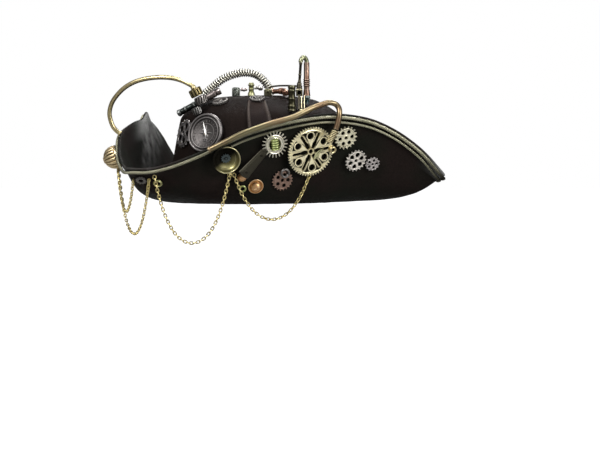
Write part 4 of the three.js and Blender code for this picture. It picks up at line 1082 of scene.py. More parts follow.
@dataclass
class Brim:
    """The brim, turned up in three flaps."""

    side_steps: int = 150
    back_steps: int = 64
    climb_steps: int = 26
    rim_steps: int = 5
    rim_round: float = 0.8
    head_ease: float = 1.3
    fold_reach: float = 1.3
    fold_sag: float = 3.0
    rise_share: float = 0.3
    rise_lift: float = 0.04
    # Share along, rise and spread of each bump in the right flap's rim
    bumps: Rows = ((0.56, -6.5, 0.24), (0.617, 8.5, 0.028))
    # How tall the felt's waves are, and how fine
    wave: tuple = (0.5, 0.035)
    ripple: tuple = (0.22, 0.11)
    corner_spread: float = 9.0
    front_columns: int = 12

    def flap(self, rows: tuple, steps: int, side: Side, bumps: Rows = ()) -> Array:
        """The middle of the wall over one stretch of the brim.

        Args:
            rows: rim and fold points.
            steps: how many sections it has.
            side: the wearer's side.
            bumps: the share along, rise and spread of each bump in the rim.

        Returns:
            Points by section and by climb, front to back.
        """
        edge = spline([row[0] for row in rows], steps + 1, power=0, even=False)
        fold = spline([row[1] for row in rows], steps + 1, power=0, even=False)
        angle = np.arctan2(fold[:, 1] / HEAD_HALF_LENGTH, fold[:, 0] / HEAD_HALF_WIDTH)
        base = np.stack([(HEAD_HALF_WIDTH + self.head_ease) * np.cos(angle),
                         (HEAD_HALF_LENGTH + self.head_ease) * np.sin(angle), 0 * angle], 1)
        out = base + (fold - base) * self.fold_reach
        out[:, 2] = fold[:, 2] - self.fold_sag
        rise = fold + (edge - fold) * self.rise_share
        rise[:, 2] += self.rise_lift * (edge[:, 2] - fold[:, 2])
        up = np.linspace(0, 1, self.climb_steps)[None, :, None]
        base, out, rise, edge = (part[:, None] for part in (base, out, rise, edge))
        points = (base * (1 - up) ** 3 + out * 3 * up * (1 - up) ** 2
                  + rise * 3 * up**2 * (1 - up) + edge * up**3)
        along = np.linspace(0, 1, steps + 1)[:, None]
        for middle, height, spread in bumps:
            points[:, :, 2] += height * up[:, :, 0] ** 3 * bell(along, middle, spread)
        points[:, :, 0] *= side.value
        return points

    def middle(self) -> Array:
        """The middle of the wall once round the hat, from the front over the wearer's left."""
        left = self.flap(SIDE_ROWS, self.side_steps, Side.LEFT)
        right = self.flap(SIDE_ROWS, self.side_steps, Side.RIGHT, self.bumps)
        rear_left = self.flap(BACK_ROWS, self.back_steps, Side.LEFT)
        rear_right = self.flap(BACK_ROWS, self.back_steps, Side.RIGHT)
        return smoothed(np.vstack([left[:-1], rear_left[:-1], rear_right[:0:-1], right[:0:-1]]), 3)

    def outwards(self, wall: Array) -> Array:
        """The direction out of the felt's outer face at each point of the wall."""
        along = np.roll(wall, -1, 0) - np.roll(wall, 1, 0)
        return unit(np.cross(along, np.gradient(wall, axis=1)))

    def waved(self, wall: Array) -> Array:
        """The wall with the slight waves that shaped felt keeps."""
        climb = np.linspace(0.15, 1, wall.shape[1])[None, :]
        (wave, coarse), (ripple, fine) = self.wave, self.ripple
        swell = waves(wall, coarse) * wave * climb + waves(wall, fine) * ripple
        return wall + self.outwards(wall) * swell[:, :, None]

    def form(self, wall: Array) -> Form:
        """The felt with its full wall and a rounded rim."""
        out = self.outwards(wall)
        half = BRIM_WALL / 2
        tip = unit(wall[:, -1] - wall[:, -2])
        rim = [wall[:, -1] + half * (out[:, -1] * math.cos(a) + tip * math.sin(a) * self.rim_round)
               for a in np.linspace(0, math.pi, self.rim_steps + 2)[1:-1]]
        outer = wall + out * half
        inner = (wall - out * half)[:, ::-1]
        return grid(np.concatenate([outer, np.stack(rim, 1), inner], 1), around=True, along=True)

    def corners(self, columns: int) -> Array:
        """How near each section is to a corner of the brim, from 0 to 1."""
        near = np.zeros((columns, 1))
        for corner in (0.0, self.side_steps, self.side_steps + 2 * self.back_steps):
            gap = np.abs(np.arange(columns) - corner)
            near = np.maximum(near, bell(np.minimum(gap, columns - gap)[:, None], 0, self.corner_spread))
        return near

    def sheen_band_and_worn_peak(self, wall: Array, up: Array) -> Array:
        """How worn the inner face of the right flap is, in a band and at its peak."""
        across, height, far = wall @ dressed(1, 0, 0), wall[:, :, 2], wall[:, :, 0] < -60
        band = ramp(across, -119, 2.5) * ramp(-across, 101, 12)
        band *= ramp(height, 22, 40)
        band *= 0.62 + 0.9 * waves(wall, 0.14)
        peak = bell(across, -118, 5) * ramp(up, 0.84, 0.1)
        return np.maximum(band, peak) * far

    def wear_and_sheen(self, wall: Array) -> Array:
        """How worn and fuzzy each point is: along the rim, at the corners and inside the right flap."""
        columns, climbs = wall.shape[:2]
        up = np.linspace(0, 1, climbs)[None, :]
        rim = ramp(up, 0.965, 0.035) * np.ones((columns, 1)) * 0.03
        tips = self.corners(columns) * ramp(up, 0.84, 0.14)
        tips[:self.front_columns] *= 0.1
        tips[-self.front_columns:] *= 0.1
        outer = np.clip(rim + tips * 0.6, 0, 1)
        # The inner face also carries the painted sheen band of the right flap.
        inner = np.clip(rim + tips * 0.3 + self.sheen_band_and_worn_peak(wall, up), 0, 1)[:, ::-1]
        cap = np.repeat(outer[:, -1:], self.rim_steps, 1)
        return np.concatenate([outer, cap, inner], 1).reshape(-1)

    def build(self) -> Array:
        """Makes the brim.

        Returns:
            The middle of its wall, for what is sewn to it.
        """
        wall = self.waved(self.middle())
        # The brim's wear mark also holds the painted sheen inside the right flap.
        make("brim", self.form(wall), BRIM_LEATHER, sharp=60, marks={"wear_and_sheen": self.wear_and_sheen(wall)})
        return wall


@dataclass
class RimCords:
    """Two twisted gold cords sewn along the rim's outer face; the second leaves the front free."""

    edge_radius: float = 1.6
    edge_drop: float = 1.6
    edge_pitch: float = 6.4
    second_radius: float = 1.25
    second_drop: float = 6.6
    second_pitch: float = 5.2
    plies: int = 3
    lift: float = 0.45
    free_columns: int = 45
    strand_share: float = 0.54

    def line(self, wall: Array, out: Array, drop: float, radius: float) -> Array:
        """The centre line of a cord a given length below the rim.

        Args:
            wall: the middle of the brim's wall.
            out: the directions out of it.
            drop: the length below the rim.
            radius: the cord's radius.

        Returns:
            The points of a closed line.
        """
        steps = np.linalg.norm(np.diff(wall, axis=1), axis=2)[:, ::-1]
        below = np.concatenate([np.zeros((len(wall), 1)), np.cumsum(steps, 1)], 1)
        points = []
        for row, normal, far in zip(wall[:, ::-1], out[:, ::-1], below):
            here = [np.interp(drop, far, row[:, k]) for k in range(3)]
            away = [np.interp(drop, far, normal[:, k]) for k in range(3)]
            points.append(np.array(here) + unit(np.array(away)) * (BRIM_WALL / 2 + self.lift + radius))
        return smoothed(np.array(points), 2)

    def twisted(self, line: Array, radius: float, pitch: float, closed: bool) -> Form:
        """A rope of several plies along a line.

        Args:
            line: its centre line.
            radius: its outside radius.
            pitch: the length of one full turn.
            closed: whether the line joins up.

        Returns:
            The rope.
        """
        strand = radius * self.strand_share
        turns = round(length_of(np.vstack([line, line[:1]]) if closed else line) / pitch)
        return together(*(coil(line, radius - strand, strand, turns, 7, 6, closed, ply / self.plies)
                          for ply in range(self.plies)))

    def painted_cord_shade(self, rope: Form) -> Array:
        """How dull each point of a cord is: more towards the front and at the rear corners."""
        x, y = np.abs(rope.points[:, 0]), rope.points[:, 1]
        corner_x, corner_y, _ = BACK_ROWS[0][0]
        front = ramp(-y, -10, 110) * 0.36
        rear = np.clip(1.15 - np.hypot(x - corner_x, y - corner_y) / 25, 0, 1) * 0.95
        return np.maximum(front, rear)

    def build(self, wall: Array, out: Array) -> None:
        """Makes both cords."""
        edge = self.line(wall, out, self.edge_drop, self.edge_radius)
        second = self.line(wall, out, self.second_drop, self.second_radius)
        second = second[self.free_columns:-self.free_columns + 1]
        ropes = {"edge_cord": self.twisted(edge, self.edge_radius, self.edge_pitch, True),
                 "second_cord": self.twisted(second, self.second_radius, self.second_pitch, False)}
        for name, rope in ropes.items():
            # The cords' mark is painted shade, laid on through the metal's dark colour.
            make(name, rope, CORD_GOLD, sharp=80, marks={"dirt_and_shade_mark": self.painted_cord_shade(rope)}, dirt_and_shade_mark=0)


@dataclass
class Crown:
    """The domed crown and the strap that runs up its front."""

    # Height, and the share of the head opening that the crown fills there
    rows: Rows = ((-1.2, 1), (25, 0.955), (50, 0.91), (70, 0.868), (80, 0.835), (88, 0.74), (93, 0.645),
                  (97, 0.54), (99.5, 0.38), (100.6, 0.18), (100.8, 0))
    sides: int = 150
    wall: float = 2.2
    ease: float = 0.35
    foot_height: float = -1.0
    foot_flare: float = 3.4
    flare_height: float = 8.0
    # How deep the dents are, and how fine
    dent: tuple = (0.45, 0.028)
    crease: tuple = (0.16, 0.1)
    # Height, and the strap's left and right edge in degrees from the front
    strap_rows: Rows = (
        (4, 56, 39), (50, 56, 39), (70, 55.5, 38.6), (80, 54.3, 37.6), (88, 52.8, 36.3), (93, 51.8, 35.4),
    )
    strap_steps: int = 60
    strap_wall: float = 1.15
    strap_lift: float = 0.75
    welt_height: float = 1.25
    welt_wear: float = 0.85

    def profile(self) -> Array:
        """Height and share of the head opening, smoothly through the rows."""
        line = spline([(height, share * HEAD_HALF_WIDTH, 0) for height, share in self.rows], 60)
        return np.stack([line[:, 0], np.maximum(line[:, 1], 0) / HEAD_HALF_WIDTH], 1)

    def point(self, around: Array, height: Array, proud: Array) -> Array:
        """Points over the crown's face.

        Args:
            around: the angle from the front towards the wearer's left.
            height: the height of each point.
            proud: how far each stands off the face.

        Returns:
            The points.
        """
        step = 0.8
        at, shares = self.profile().T
        share = np.interp(height, at, shares)
        slope = (np.interp(height + step, at, shares) - np.interp(height - step, at, shares)) / (2 * step)
        spot = np.stack([HEAD_HALF_WIDTH * share * np.sin(around),
                         -HEAD_HALF_LENGTH * share * np.cos(around), height], -1)
        out = np.stack([np.sin(around) / HEAD_HALF_WIDTH, -np.cos(around) / HEAD_HALF_LENGTH,
                        -slope / np.maximum(share, 0.05) * share], -1)
        return spot + unit(out) * np.asarray(proud)[..., None]

    def form(self) -> Form:
        """The crown's shell, open below."""
        rows = self.profile()
        angle = np.arange(self.sides) * TURN / self.sides
        ring = np.stack([np.sin(angle) * HEAD_HALF_WIDTH, -np.cos(angle) * HEAD_HALF_LENGTH], 1)
        keep = rows[rows[:, 1] > 0.02]
        levels = np.broadcast_to(keep[:, :1, None], (len(keep), self.sides, 1))
        outer = np.concatenate([keep[:, None, 1:] * ring, levels], 2)
        flat = outer.reshape(-1, 3)
        (dent, coarse), (crease, fine) = self.dent, self.crease
        sunk = waves(flat, coarse) * dent + waves(flat, fine) * crease
        centre = np.array([0, 0, 40.0])
        flat = flat + unit(flat - centre) * (sunk - self.ease)[:, None]
        low = np.clip(1 - (flat[:, 2] - self.foot_height) / self.flare_height, 0, 1)
        flat = flat + unit(flat * (1, 1, 0)) * (self.foot_flare * low**1.4)[:, None]
        outer = flat.reshape(outer.shape)
        outer[0, :, 2] = self.foot_height
        inner = outer - unit(outer - centre) * self.wall
        inner[0, :, 2] = self.foot_height
        return grid(np.concatenate([inner[::-1], outer]), around=True, capped=True)

    def strap(self) -> tuple[Form, Array]:
        """The strap with a rounded welt along each side.

        Returns:
            The strap's mesh and how worn each point is.
        """
        at, left, right = (np.array(column, float) for column in zip(*self.strap_rows))
        across = np.concatenate([[0, 0], np.linspace(0.02, 0.16, 7), np.linspace(0.22, 0.78, 9),
                                 np.linspace(0.84, 0.98, 7), [1, 1]])
        side = np.linspace(0.1, 1, 7)
        welt = np.sin(np.concatenate([side, np.zeros(9), side]) * math.pi)
        proud = np.concatenate([[0, 0.7], self.strap_wall + welt * self.welt_height, [0.7, 0]])
        rows = []
        for height in np.linspace(at[0], at[-1], self.strap_steps):
            lo, hi = np.interp(height, at, right), np.interp(height, at, left)
            around = np.radians(lo + (hi - lo) * across)
            rows.append(self.point(around, np.full(len(around), height), proud + self.strap_lift))
        worn = np.concatenate([[0, 0], welt, [0, 0]]) * self.welt_wear
        return grid(np.array(rows), around=True, capped=True), np.tile(worn, self.strap_steps)

    def build(self) -> None:
        """Makes the crown and its strap."""
        make("crown", self.form(), CROWN_LEATHER, sharp=60)
        form, worn = self.strap()
        make("crown_strap", form, STRAP_LEATHER, sharp=60, marks={"wear_and_sheen": worn})


@dataclass
class Compass:
    """The pewter compass on the crown's front, with its relief dial and needle."""

    case_rows: Rows = ((0, 0), (18, 0), (19, 1.2), (19, 3.3), (18.3, 4.4), (17.4, 4.8), (16.7, 4.3),
                       (16.4, 3.2), (15.6, 3), (15.2, 4.1), (14.5, 4.4), (13.9, 3.9))
    floor_radius: float = 13.5
    floor: float = 2.4
    dial_ring: float = 9.2
    marks: int = 24
    long_every: int = 6
    long_mark: tuple = (10.4, 2.6)
    short_mark: tuple = (11.3, 1.5)
    mark_half: float = 0.28
    points: int = 8
    long_point: tuple = (8.6, 1.5)
    short_point: tuple = (5.6, 1.2)
    button: Rows = ((0, 0), (1.9, 0), (1.9, 0.7), (0, 0.9))
    needle_points: Rows = (
        (0, 12, 0.4), (-1.5, 0, 0.4), (0, -4.5, 0.4), (1.5, 0, 0.4), (0, 0.5, 1.2), (0, 12, 0.1),
        (-1.5, 0, 0.1), (0, -4.5, 0.1), (1.5, 0, 0.1),
    )

    def case(self) -> Form:
        """The double rim and the dial inside it."""
        rows = [*self.case_rows, (self.floor_radius, self.floor), (0, self.floor)]
        forms = [lathe(rows, 72, 0.25), ring_of(self.dial_ring, 0.3, self.floor, 48, 6)]
        for mark in range(self.marks):
            start, reach = self.short_mark if mark % self.long_every else self.long_mark
            half = self.mark_half
            tick = plate([[(0, -half), (reach, -half), (reach, half), (0, half)]], 0.7, 0.1)
            forms.append(tick.shifted(start, 0, self.floor - 0.1).turned(mark * TURN / self.marks))
        return together(*forms)

    def rose(self) -> Form:
        """A low eight-pointed star with a ridge down each point, and a small window below it."""
        forms = []
        for point in range(self.points):
            reach, half = self.short_point if point % 2 else self.long_point
            body = np.array([(0.2, 0, 0), (2.4, half, 0), (reach, 0, 0), (2.4, -half, 0), (2.2, 0, 0.9)])
            ridge = Form(body, [(0, 1, 4), (1, 2, 4), (2, 3, 4), (3, 0, 4), (0, 3, 2, 1)])
            forms.append(ridge.lifted(self.floor - 0.05).turned(point * math.pi / 4))
        forms.append(lathe(self.button, 20, 0.2).lifted(self.floor))
        window = plate([rectangle(2.4, 1.5), rectangle(1.6, 0.8)], 0.8, 0.15)
        forms.append(window.shifted(0.8, -6.6, self.floor))
        return together(*forms)

    def needle(self) -> Form:
        """The bright needle with a ridge along its middle."""
        faces = [(0, 1, 4), (1, 2, 4), (2, 3, 4), (3, 0, 4), (0, 5, 6, 1), (1, 6, 7, 2), (2, 7, 8, 3),
                 (3, 8, 5, 0), (5, 8, 7, 6)]
        return Form(np.array(self.needle_points), faces)

    def build(self) -> None:
        """Makes the compass."""
        fit("compass_case", self.case(), COMPASS_PEWTER)
        make("compass_rose", self.rose().placed(seat("compass_case")), DIM_PEWTER, ())
        fit("compass_needle", self.needle(), SILVER, sharp=20)


@dataclass
class CrownOrnaments:
    """The medallion, the pierced gear and the fluted winding crown that lie on the crown."""

    medallion_width: float = 7.0
    medallion_height: float = 5.6
    medallion_wall: float = 1.4
    hole_places: tuple = (-2.7, 2.7)
    hole_radius: float = 1.5
    beads: int = 30
    bead_rows: Rows = ((0, -0.55), (0.4, -0.35), (0.55, 0), (0.4, 0.35), (0, 0.55))
    bead_inset: float = 0.75
    crown_rows: Rows = (
        (7, 0, 0), (7.8, 0.3, 1), (7.8, 2, 1), (7.2, 2.3, 0.6), (6.4, 2.6, 0), (5.4, 2.5, 0), (4.6, 1.9, 0),
        (2.6, 1.7, 0), (1.9, 2.3, 0), (1, 2.4, 0),
    )

    def medallion(self) -> Form:
        """An oval plate with two holes and a beaded rim."""
        a, b, wall = self.medallion_width, self.medallion_height, self.medallion_wall
        oval = circle(1, sides=48) * (a, b)
        forms = [plate([oval, *(circle(self.hole_radius, x) for x in self.hole_places)], wall, 0.3)]
        ball = lathe(self.bead_rows, 8, 0)
        for bead in range(self.beads):
            angle = bead * TURN / self.beads
            forms.append(ball.shifted((a - self.bead_inset) * math.cos(angle),
                                      (b - self.bead_inset) * math.sin(angle), wall))
        forms += [ring_of(1.85, 0.3, wall, 20, 6).shifted(x, 0) for x in self.hole_places]
        return together(*forms)

    def side_gear(self) -> Form:
        """The gear with five openings, a raised rim and a hub."""
        body = plate([gear_outline(14, 1.8, 18, Tooth.POINTED), circle(2), *petals(5, 3.6, 10.4, 0.3)], 1.4)
        return together(body, ring_of(11.4, 0.45, 1.35, 60, 8), ring_of(2.8, 0.5, 1.4, 24, 8))

    def build(self) -> None:
        """Makes the ornaments."""
        fit("strap_medallion", self.medallion(), PEWTER)
        fit("side_gear", self.side_gear(), DIM_PEWTER)
        fit("oval_gear", fluted(self.crown_rows, 0.9, 22), PEWTER)


@dataclass
class HoseEnd:
    """The barrel across the front shoulder, the fluted hose end before it and the thin loop tube."""

    top: tuple = (-63.1, -58.5, 106.5)
    foot: tuple = (-52.5, -57, 85.4)
    barrel_start: tuple = (-79.7, -40, 82.5)
    barrel_end: tuple = (-38.6, -42.5, 105)
    barrel_rows: Rows = (
        (0, 0), (2.2, 0), (2.2, 0.8), (3.3, 0.8), (3.3, 3.4), (2.9, 3.8), (2.9, 8), (3.3, 8.4), (3.3, 9.4),
        (2.9, 9.8), (2.9, 17), (3.3, 17.4), (3.3, 18.4), (2.9, 18.8),
    )
    bright_rows: Rows = ((0, 21), (3, 21), (3.3, 21.4))
    # Radius and distance short of the barrel's end
    bright_end_rows: Rows = ((3.3, 6), (2.95, 5.6), (2.95, 4.6), (3.3, 4.2), (3.3, 0.3), (0, 0.2))
    groove: float = 1.0
    loop_radius: float = 2.2
    loop_foot: tuple = (-78.1, -114.32, 63.55)
    loop_rows: Rows = (
        (-139.4, -32, 67.4), (-142.6, -32, 72.2), (-145.1, -32.5, 82.8), (-143, -33.5, 92.3),
        (-138, -36, 100), (-130.1, -39, 107.6), (-121.3, -42, 112.6), (-111.6, -44.5, 115.6),
        (-98.1, -48, 117.3), (-84.6, -51, 116.7), (-75, -54.5, 114.2), (-68.2, -57.4, 111),
    )
    tip_rows: Rows = ((0, 0), (2.8, 0), (2.8, 1.2), (2.4, 1.6), (2.4, 2.6), (0, 2.6))
    foot_rows: Rows = ((0, 0), (2.7, 0), (2.7, 1), (2.4, 1.4), (0, 1.4))

    def axis(self) -> Array:
        """The direction down the hose end."""
        return unit(dressed(*self.foot) - dressed(*self.top))

    def barrel(self) -> tuple[Form, Form]:
        """The dark barrel, and the bright sleeve over its far half."""
        start, end = dressed(*self.barrel_start), dressed(*self.barrel_end)
        length = float(np.linalg.norm(end - start))
        rows = [*self.barrel_rows, (2.9, length - 0.4), (0, length)]
        sleeve = [*self.bright_rows, *((radius, length - short) for radius, short in self.bright_end_rows)]
        place = aimed(start, end)
        return lathe(rows, 32).placed(place), lathe(sleeve, 32).placed(place)

    def sleeve(self, start: float, length: float, radius: float, shift: tuple, flutes: int,
               twist: float) -> Form:
        """One fluted sleeve of the hose end.

        Args:
            start: the distance down the hose's line.
            length: its length.
            radius: its radius.
            shift: how far it stands aside from the line, across and deep.
            flutes: how many grooves it has.
            twist: how far the grooves turn, in radians.

        Returns:
            The sleeve in its place.
        """
        foot = dressed(*self.top) + self.axis() * start + dressed(*shift, 0)
        form = fluted(sleeve_rows(radius, length, self.groove), self.groove, flutes, twist, 3)
        return form.placed(aimed(foot, foot + self.axis()))

    def loop(self) -> Form:
        """The loop tube from the right flap over to the hose."""
        top = dressed(*self.top)
        path = spline([np.array(self.loop_foot), *(dressed(*row) for row in self.loop_rows),
                       top - self.axis() * 2.4, top - self.axis() * 0.35], 110)
        tip = lathe(self.tip_rows, 24).placed(aimed(path[-1], path[-4]))
        foot = lathe(self.foot_rows, 24).placed(aimed(path[0], path[4]))
        return together(sweep(path, self.loop_radius, 20), tip, foot)

    def build(self) -> None:
        """Makes the barrel, the sleeves and the loop."""
        dark, bright = self.barrel()
        make("barrel", dark, DARK_STEEL)
        make("barrel_sleeve", bright, BAR_STEEL, ())
        make("hose_cap", self.sleeve(0, 7.6, 6.2, (0, 0), 11, 0), CAP_GOLD)
        make("hose_silver_sleeve", self.sleeve(8, 7.4, 5.9, (1.2, 0), 13, 0.5), HOSE_STEEL)
        make("hose_steel_sleeve", self.sleeve(19.8, 7, 4.6, (-7.6, -2.6), 11, 0.3), BLACK_HOSE)
        make("loop_tube", self.loop(), BRASS, sharp=50, dirt_and_shade_mark=0)


@dataclass
class SpringArch:
    """The coil spring that arches over the top of the crown."""

    reach: float = 4.2
    wire: float = 0.82
    turns: int = 34
    rows: Rows = ((-57.6, 6, 100.2), (-54.4, 6, 103), (-47.6, 6, 108.8), (-38.8, 6, 115.8), (-29.1, 6, 120.2),
                  (-16.5, 6, 122.6), (-4.9, 6, 120.2), (2.9, 6, 113.4), (7.6, 6, 105.4), (7.9, 6, 101.4))
    plug_rows: Rows = ((0, 0), (3, 0), (3, 3.4), (2.2, 4.4), (0, 4.8))

    def build(self) -> None:
        """Makes the spring and the plug at each foot."""
        path = spline([dressed(*row) for row in self.rows], 160)
        wire = coil(path, self.reach - self.wire, self.wire, self.turns, 20, 8)
        make("spring_arch", wire, SPRING_STEEL, sharp=80, dirt_and_shade_mark=2.2)
        plug = lathe(self.plug_rows, 24, 0.3)
        feet = together(plug.placed(aimed(path[0], path[8])), plug.placed(aimed(path[-1], path[-9])))
        make("spring_plugs", feet, DARK_STEEL, ())


@dataclass
class ValveRow:
    """The valve parts along the top of the crown."""

    deep: float = -18.0
    height: float = 101.15
    knob_rows: Rows = ((3.2, -1, 0), (3.9, -0.5, 1), (3.9, 6.6, 1), (3.3, 7.2, 0.4), (2.6, 7.3, 0),
                       (2.4, 7.7, 0), (1.2, 7.7, 0))
    bar_rows: Rows = ((0, 0), (1.9, 0), (1.9, 0.8), (1.5, 1), (1.5, 2), (2, 2.3), (2, 4.6), (1.5, 4.9),
                      (1.5, 6.6), (0, 6.6))
    bar_height: float = 106.1
    stem_rows: Rows = ((0, -1.4), (3.4, -1.4), (3.4, 1.2), (3, 1.5), (3, 2.1), (2.4, 2.7), (2.4, 4.6),
                       (2.7, 4.9), (2.7, 5.5), (2.4, 5.8), (2.4, 8), (3.2, 8.8), (3.2, 9.8), (0, 9.8))
    stem_top: float = 9.8
    arm_rows: Rows = ((0, 0), (1.4, 0), (1.4, 1.2), (1.7, 1.4), (1.7, 2), (1.4, 2.2), (1.4, 3.6), (2.3, 4.2),
                      (2.6, 5), (2.6, 7), (2.2, 8), (1.2, 8.4), (0, 8.4))
    arm_height: float = 107.6
    block_half: tuple = (3.8, 3.5)
    block_screws: tuple = (-1.7, 1.7)
    screw_rows: Rows = ((0, 0), (0.8, 0), (0.8, 0.3), (0.5, 0.5), (0, 0.5))
    port_rows: Rows = ((0, 0), (1.5, 0), (1.5, 0.5), (1, 0.7), (1, 0.4), (0, 0.4))
    wire_rows: Rows = (
        (7.4, -18, 105.9), (8.6, -18.4, 108.2), (14, -21, 109.3), (25, -33, 109.6), (34.2, -42.6, 109.2),
    )
    pipe_rows: Rows = ((10.5, -18, 104), (12.6, -18.2, 104.1), (18, -21.8, 104.4))
    pipe_collar: Rows = ((0, 0), (3, 0), (3, 1.1), (2.6, 1.3), (0, 1.3))
    elbow_rows: Rows = ((18.9, -22.4, 104.4), (21.2, -24.4, 104.5), (22.9, -28, 103.8), (23.2, -31.2, 101.8))
    elbow_lip: Rows = ((0, 0), (3.3, 0), (3.3, 1.2), (2.9, 1.5), (0, 1.5))
    dome_rows: Rows = ((0, 0), (3.1, 0), (3.4, 0.4), (3.4, 1.1), (2.9, 1.7), (1.8, 2.2), (0.7, 2.4), (0, 2.4))

    def stem(self) -> Form:
        """The turned valve stem with a small square cap."""
        cap = plate([circle(3.3, sides=4)], 1.7, 0.3).turned(math.pi / 4).lifted(self.stem_top)
        return together(lathe(self.stem_rows, 32), cap)

    def block(self) -> Form:
        """The bronze block with a raised plate, two screws and a port in its side."""
        corners = rectangle(*self.block_half)
        body = plate([corners], 6.2, 0.35).lifted(-1.4)
        top = plate([corners * 0.78], 0.6, 0.15).lifted(4.8)
        screw = lathe(self.screw_rows, 16, 0.08)
        heads = [screw.shifted(x, 0, 5.4) for x in self.block_screws]
        port = on_axis(lathe(self.port_rows, 20, 0.08), 2.5)
        return together(body, top, *heads, port.shifted(0, -self.block_half[1], 0))

    def collared(self, rows: Rows, steps: int, radius: float, collar_rows: Rows) -> Form:
        """A pipe through points of the dressing, with a collar at each end.

        Args:
            rows: the points.
            steps: how many rings the pipe has.
            radius: its radius.
            collar_rows: the collar's radius and height at each corner.

        Returns:
            The pipe with its collars.
        """
        path = spline([dressed(*row) for row in rows], steps)
        collar = lathe(collar_rows, 28)
        return together(sweep(path, radius, 28), collar.placed(aimed(path[0], path[6])),
                        collar.placed(aimed(path[-1], path[-6])))

    def level(self, rows: Rows, across: float, towards: float, height: float) -> Form:
        """A turned piece that lies along the row, from one place towards another."""
        start, end = dressed(across, self.deep, height), dressed(towards, self.deep, height)
        return lathe(rows, 28).placed(aimed(start, end))

    def build(self) -> None:
        """Makes the row from the ribbed knob to the copper elbow."""
        knob = fluted(self.knob_rows, 0.8, 14)
        stand("ribbed_knob", knob, RIBBED_STEEL, -24.6, self.deep, self.height - 0.7)
        make("cross_bar", self.level(self.bar_rows, -20.35, -10, self.bar_height), ROSE_STEEL)
        stand("valve_stem", self.stem(), OLIVE_GOLD, -9.9, self.deep, self.height)
        make("valve_arm", self.level(self.arm_rows, -7.1, 0, self.arm_height), SILVER)
        stand("bronze_block", self.block(), DARK_OLIVE, 6.1, self.deep, self.height)
        wire = spline([dressed(*row) for row in self.wire_rows], 40)
        make("dark_wire", sweep(wire, 0.85, 12), DARK_BRONZE, (), 60)
        make("copper_pipe", self.collared(self.pipe_rows, 24, 2.35, self.pipe_collar), COPPER)
        make("copper_elbow", self.collared(self.elbow_rows, 30, 2.8, self.elbow_lip), COPPER)
        fit("pewter_collar", lathe(self.dome_rows, 28, 0.12), PEWTER)


@dataclass
class ShoulderFittings:
    """The banded cylinder, the nut and its rods, on the crown's front left shoulder."""

    cylinder_at: tuple = (29.2, -64.9, 84.8)
    cylinder_rows: Rows = (
        (0, 0), (3.5, 0), (3.7, 0.6), (3.7, 2.2), (3.3, 2.5), (3.3, 3.3), (3.7, 3.6), (3.7, 6), (3.3, 6.6),
        (3.3, 11.6), (3.5, 11.8), (3.5, 12.6), (3.3, 12.8), (3.3, 18.4), (3.7, 19), (3.7, 20.6), (3.35, 20.9),
        (3.35, 21.7), (3.7, 22), (3.7, 24), (2.8, 24.9), (1.2, 25.2), (0, 25.2),
    )
    nut_across: float = 36.2
    nut_deep: float = -44.0
    nut_height: float = 99.6
    nut_side: float = 6.4
    nut_bore: float = 1.9
    bolt_rows: Rows = ((0, 0), (2, 0), (2, 3.6), (1.5, 3.9), (0, 3.9))
    rod_deep: float = -47.2
    rod_places: tuple = (2.2, 4.8)
    rod_radius: float = 0.55
    band_rows: Rows = ((0, -0.35), (0.75, -0.35), (0.75, 0.35), (0, 0.35))
    band_places: tuple = (0.1, 0.5, 0.9)
    brown_rod: tuple = ((-0.3, 0.9, 0.9), (-0.3, -12.2, -12))
    brown_radius: float = 1.15
    fitting_rows: Rows = (
        (0, -0.4), (3, -0.4), (3, 1), (2.6, 1.3), (2.6, 1.7), (3, 2), (3, 2.6), (2.3, 3.2), (2.3, 5.6),
        (1.6, 6.4), (1.6, 6.8), (0, 6.8),
    )
    seam: float = 0.35

    def nut(self) -> Form:
        """The square nut on its bolt, with a washer round the bore."""
        half = self.nut_side / 2
        body = plate([rectangle(half, half), circle(self.nut_bore)], self.nut_side, 0.45).lifted(-half)
        bolt = lathe(self.bolt_rows, 20).lifted(0.4 - half)
        return on_axis(together(body, bolt, ring_of(2.2, 0.3, half, 24, 6)), half)

    def rods(self) -> Form:
        """Two thin banded rods that lean down to a foot."""
        forms = []
        for across in self.rod_places:
            line = np.linspace((across, 0.9, 0.9), (across, -12.6, -12.4), 6)
            forms.append(sweep(line, self.rod_radius, 12))
            for share in self.band_places:
                middle = line[0] + (line[-1] - line[0]) * share
                forms.append(lathe(self.band_rows, 14, 0.1).placed(aimed(middle, line[-1])))
        foot = plate([[(0.5, -0.9), (6.5, -0.9), (6.5, 0.9), (0.5, 0.9)]], 1.4, 0.25)
        return together(*forms, foot.shifted(0, -12.6, -13.1))

    def build(self) -> None:
        """Makes the cylinder, the nut, its rods and the fitting on top."""
        nut_place = self.nut_across, self.nut_deep
        stand("bronze_cylinder", lathe(self.cylinder_rows, 36), DARK_OLIVE, *self.cylinder_at)
        stand("square_nut", self.nut(), NUT_BRASS, *nut_place, self.nut_height)
        stand("thin_rods", self.rods(), PALE_GOLD, self.nut_across, self.rod_deep, self.nut_height - 0.7)
        top = self.nut_height + self.nut_side + self.seam
        stand("left_fitting", lathe(self.fitting_rows, 28, 0.15), DARK_BRONZE, *nut_place, top)
        rod = sweep(np.linspace(*self.brown_rod, 8), self.brown_radius, 14)
        place = upright(self.nut_across, self.rod_deep, self.nut_height - 0.7)
        make("brown_rod", rod.placed(place), DARK_BRONZE, ())


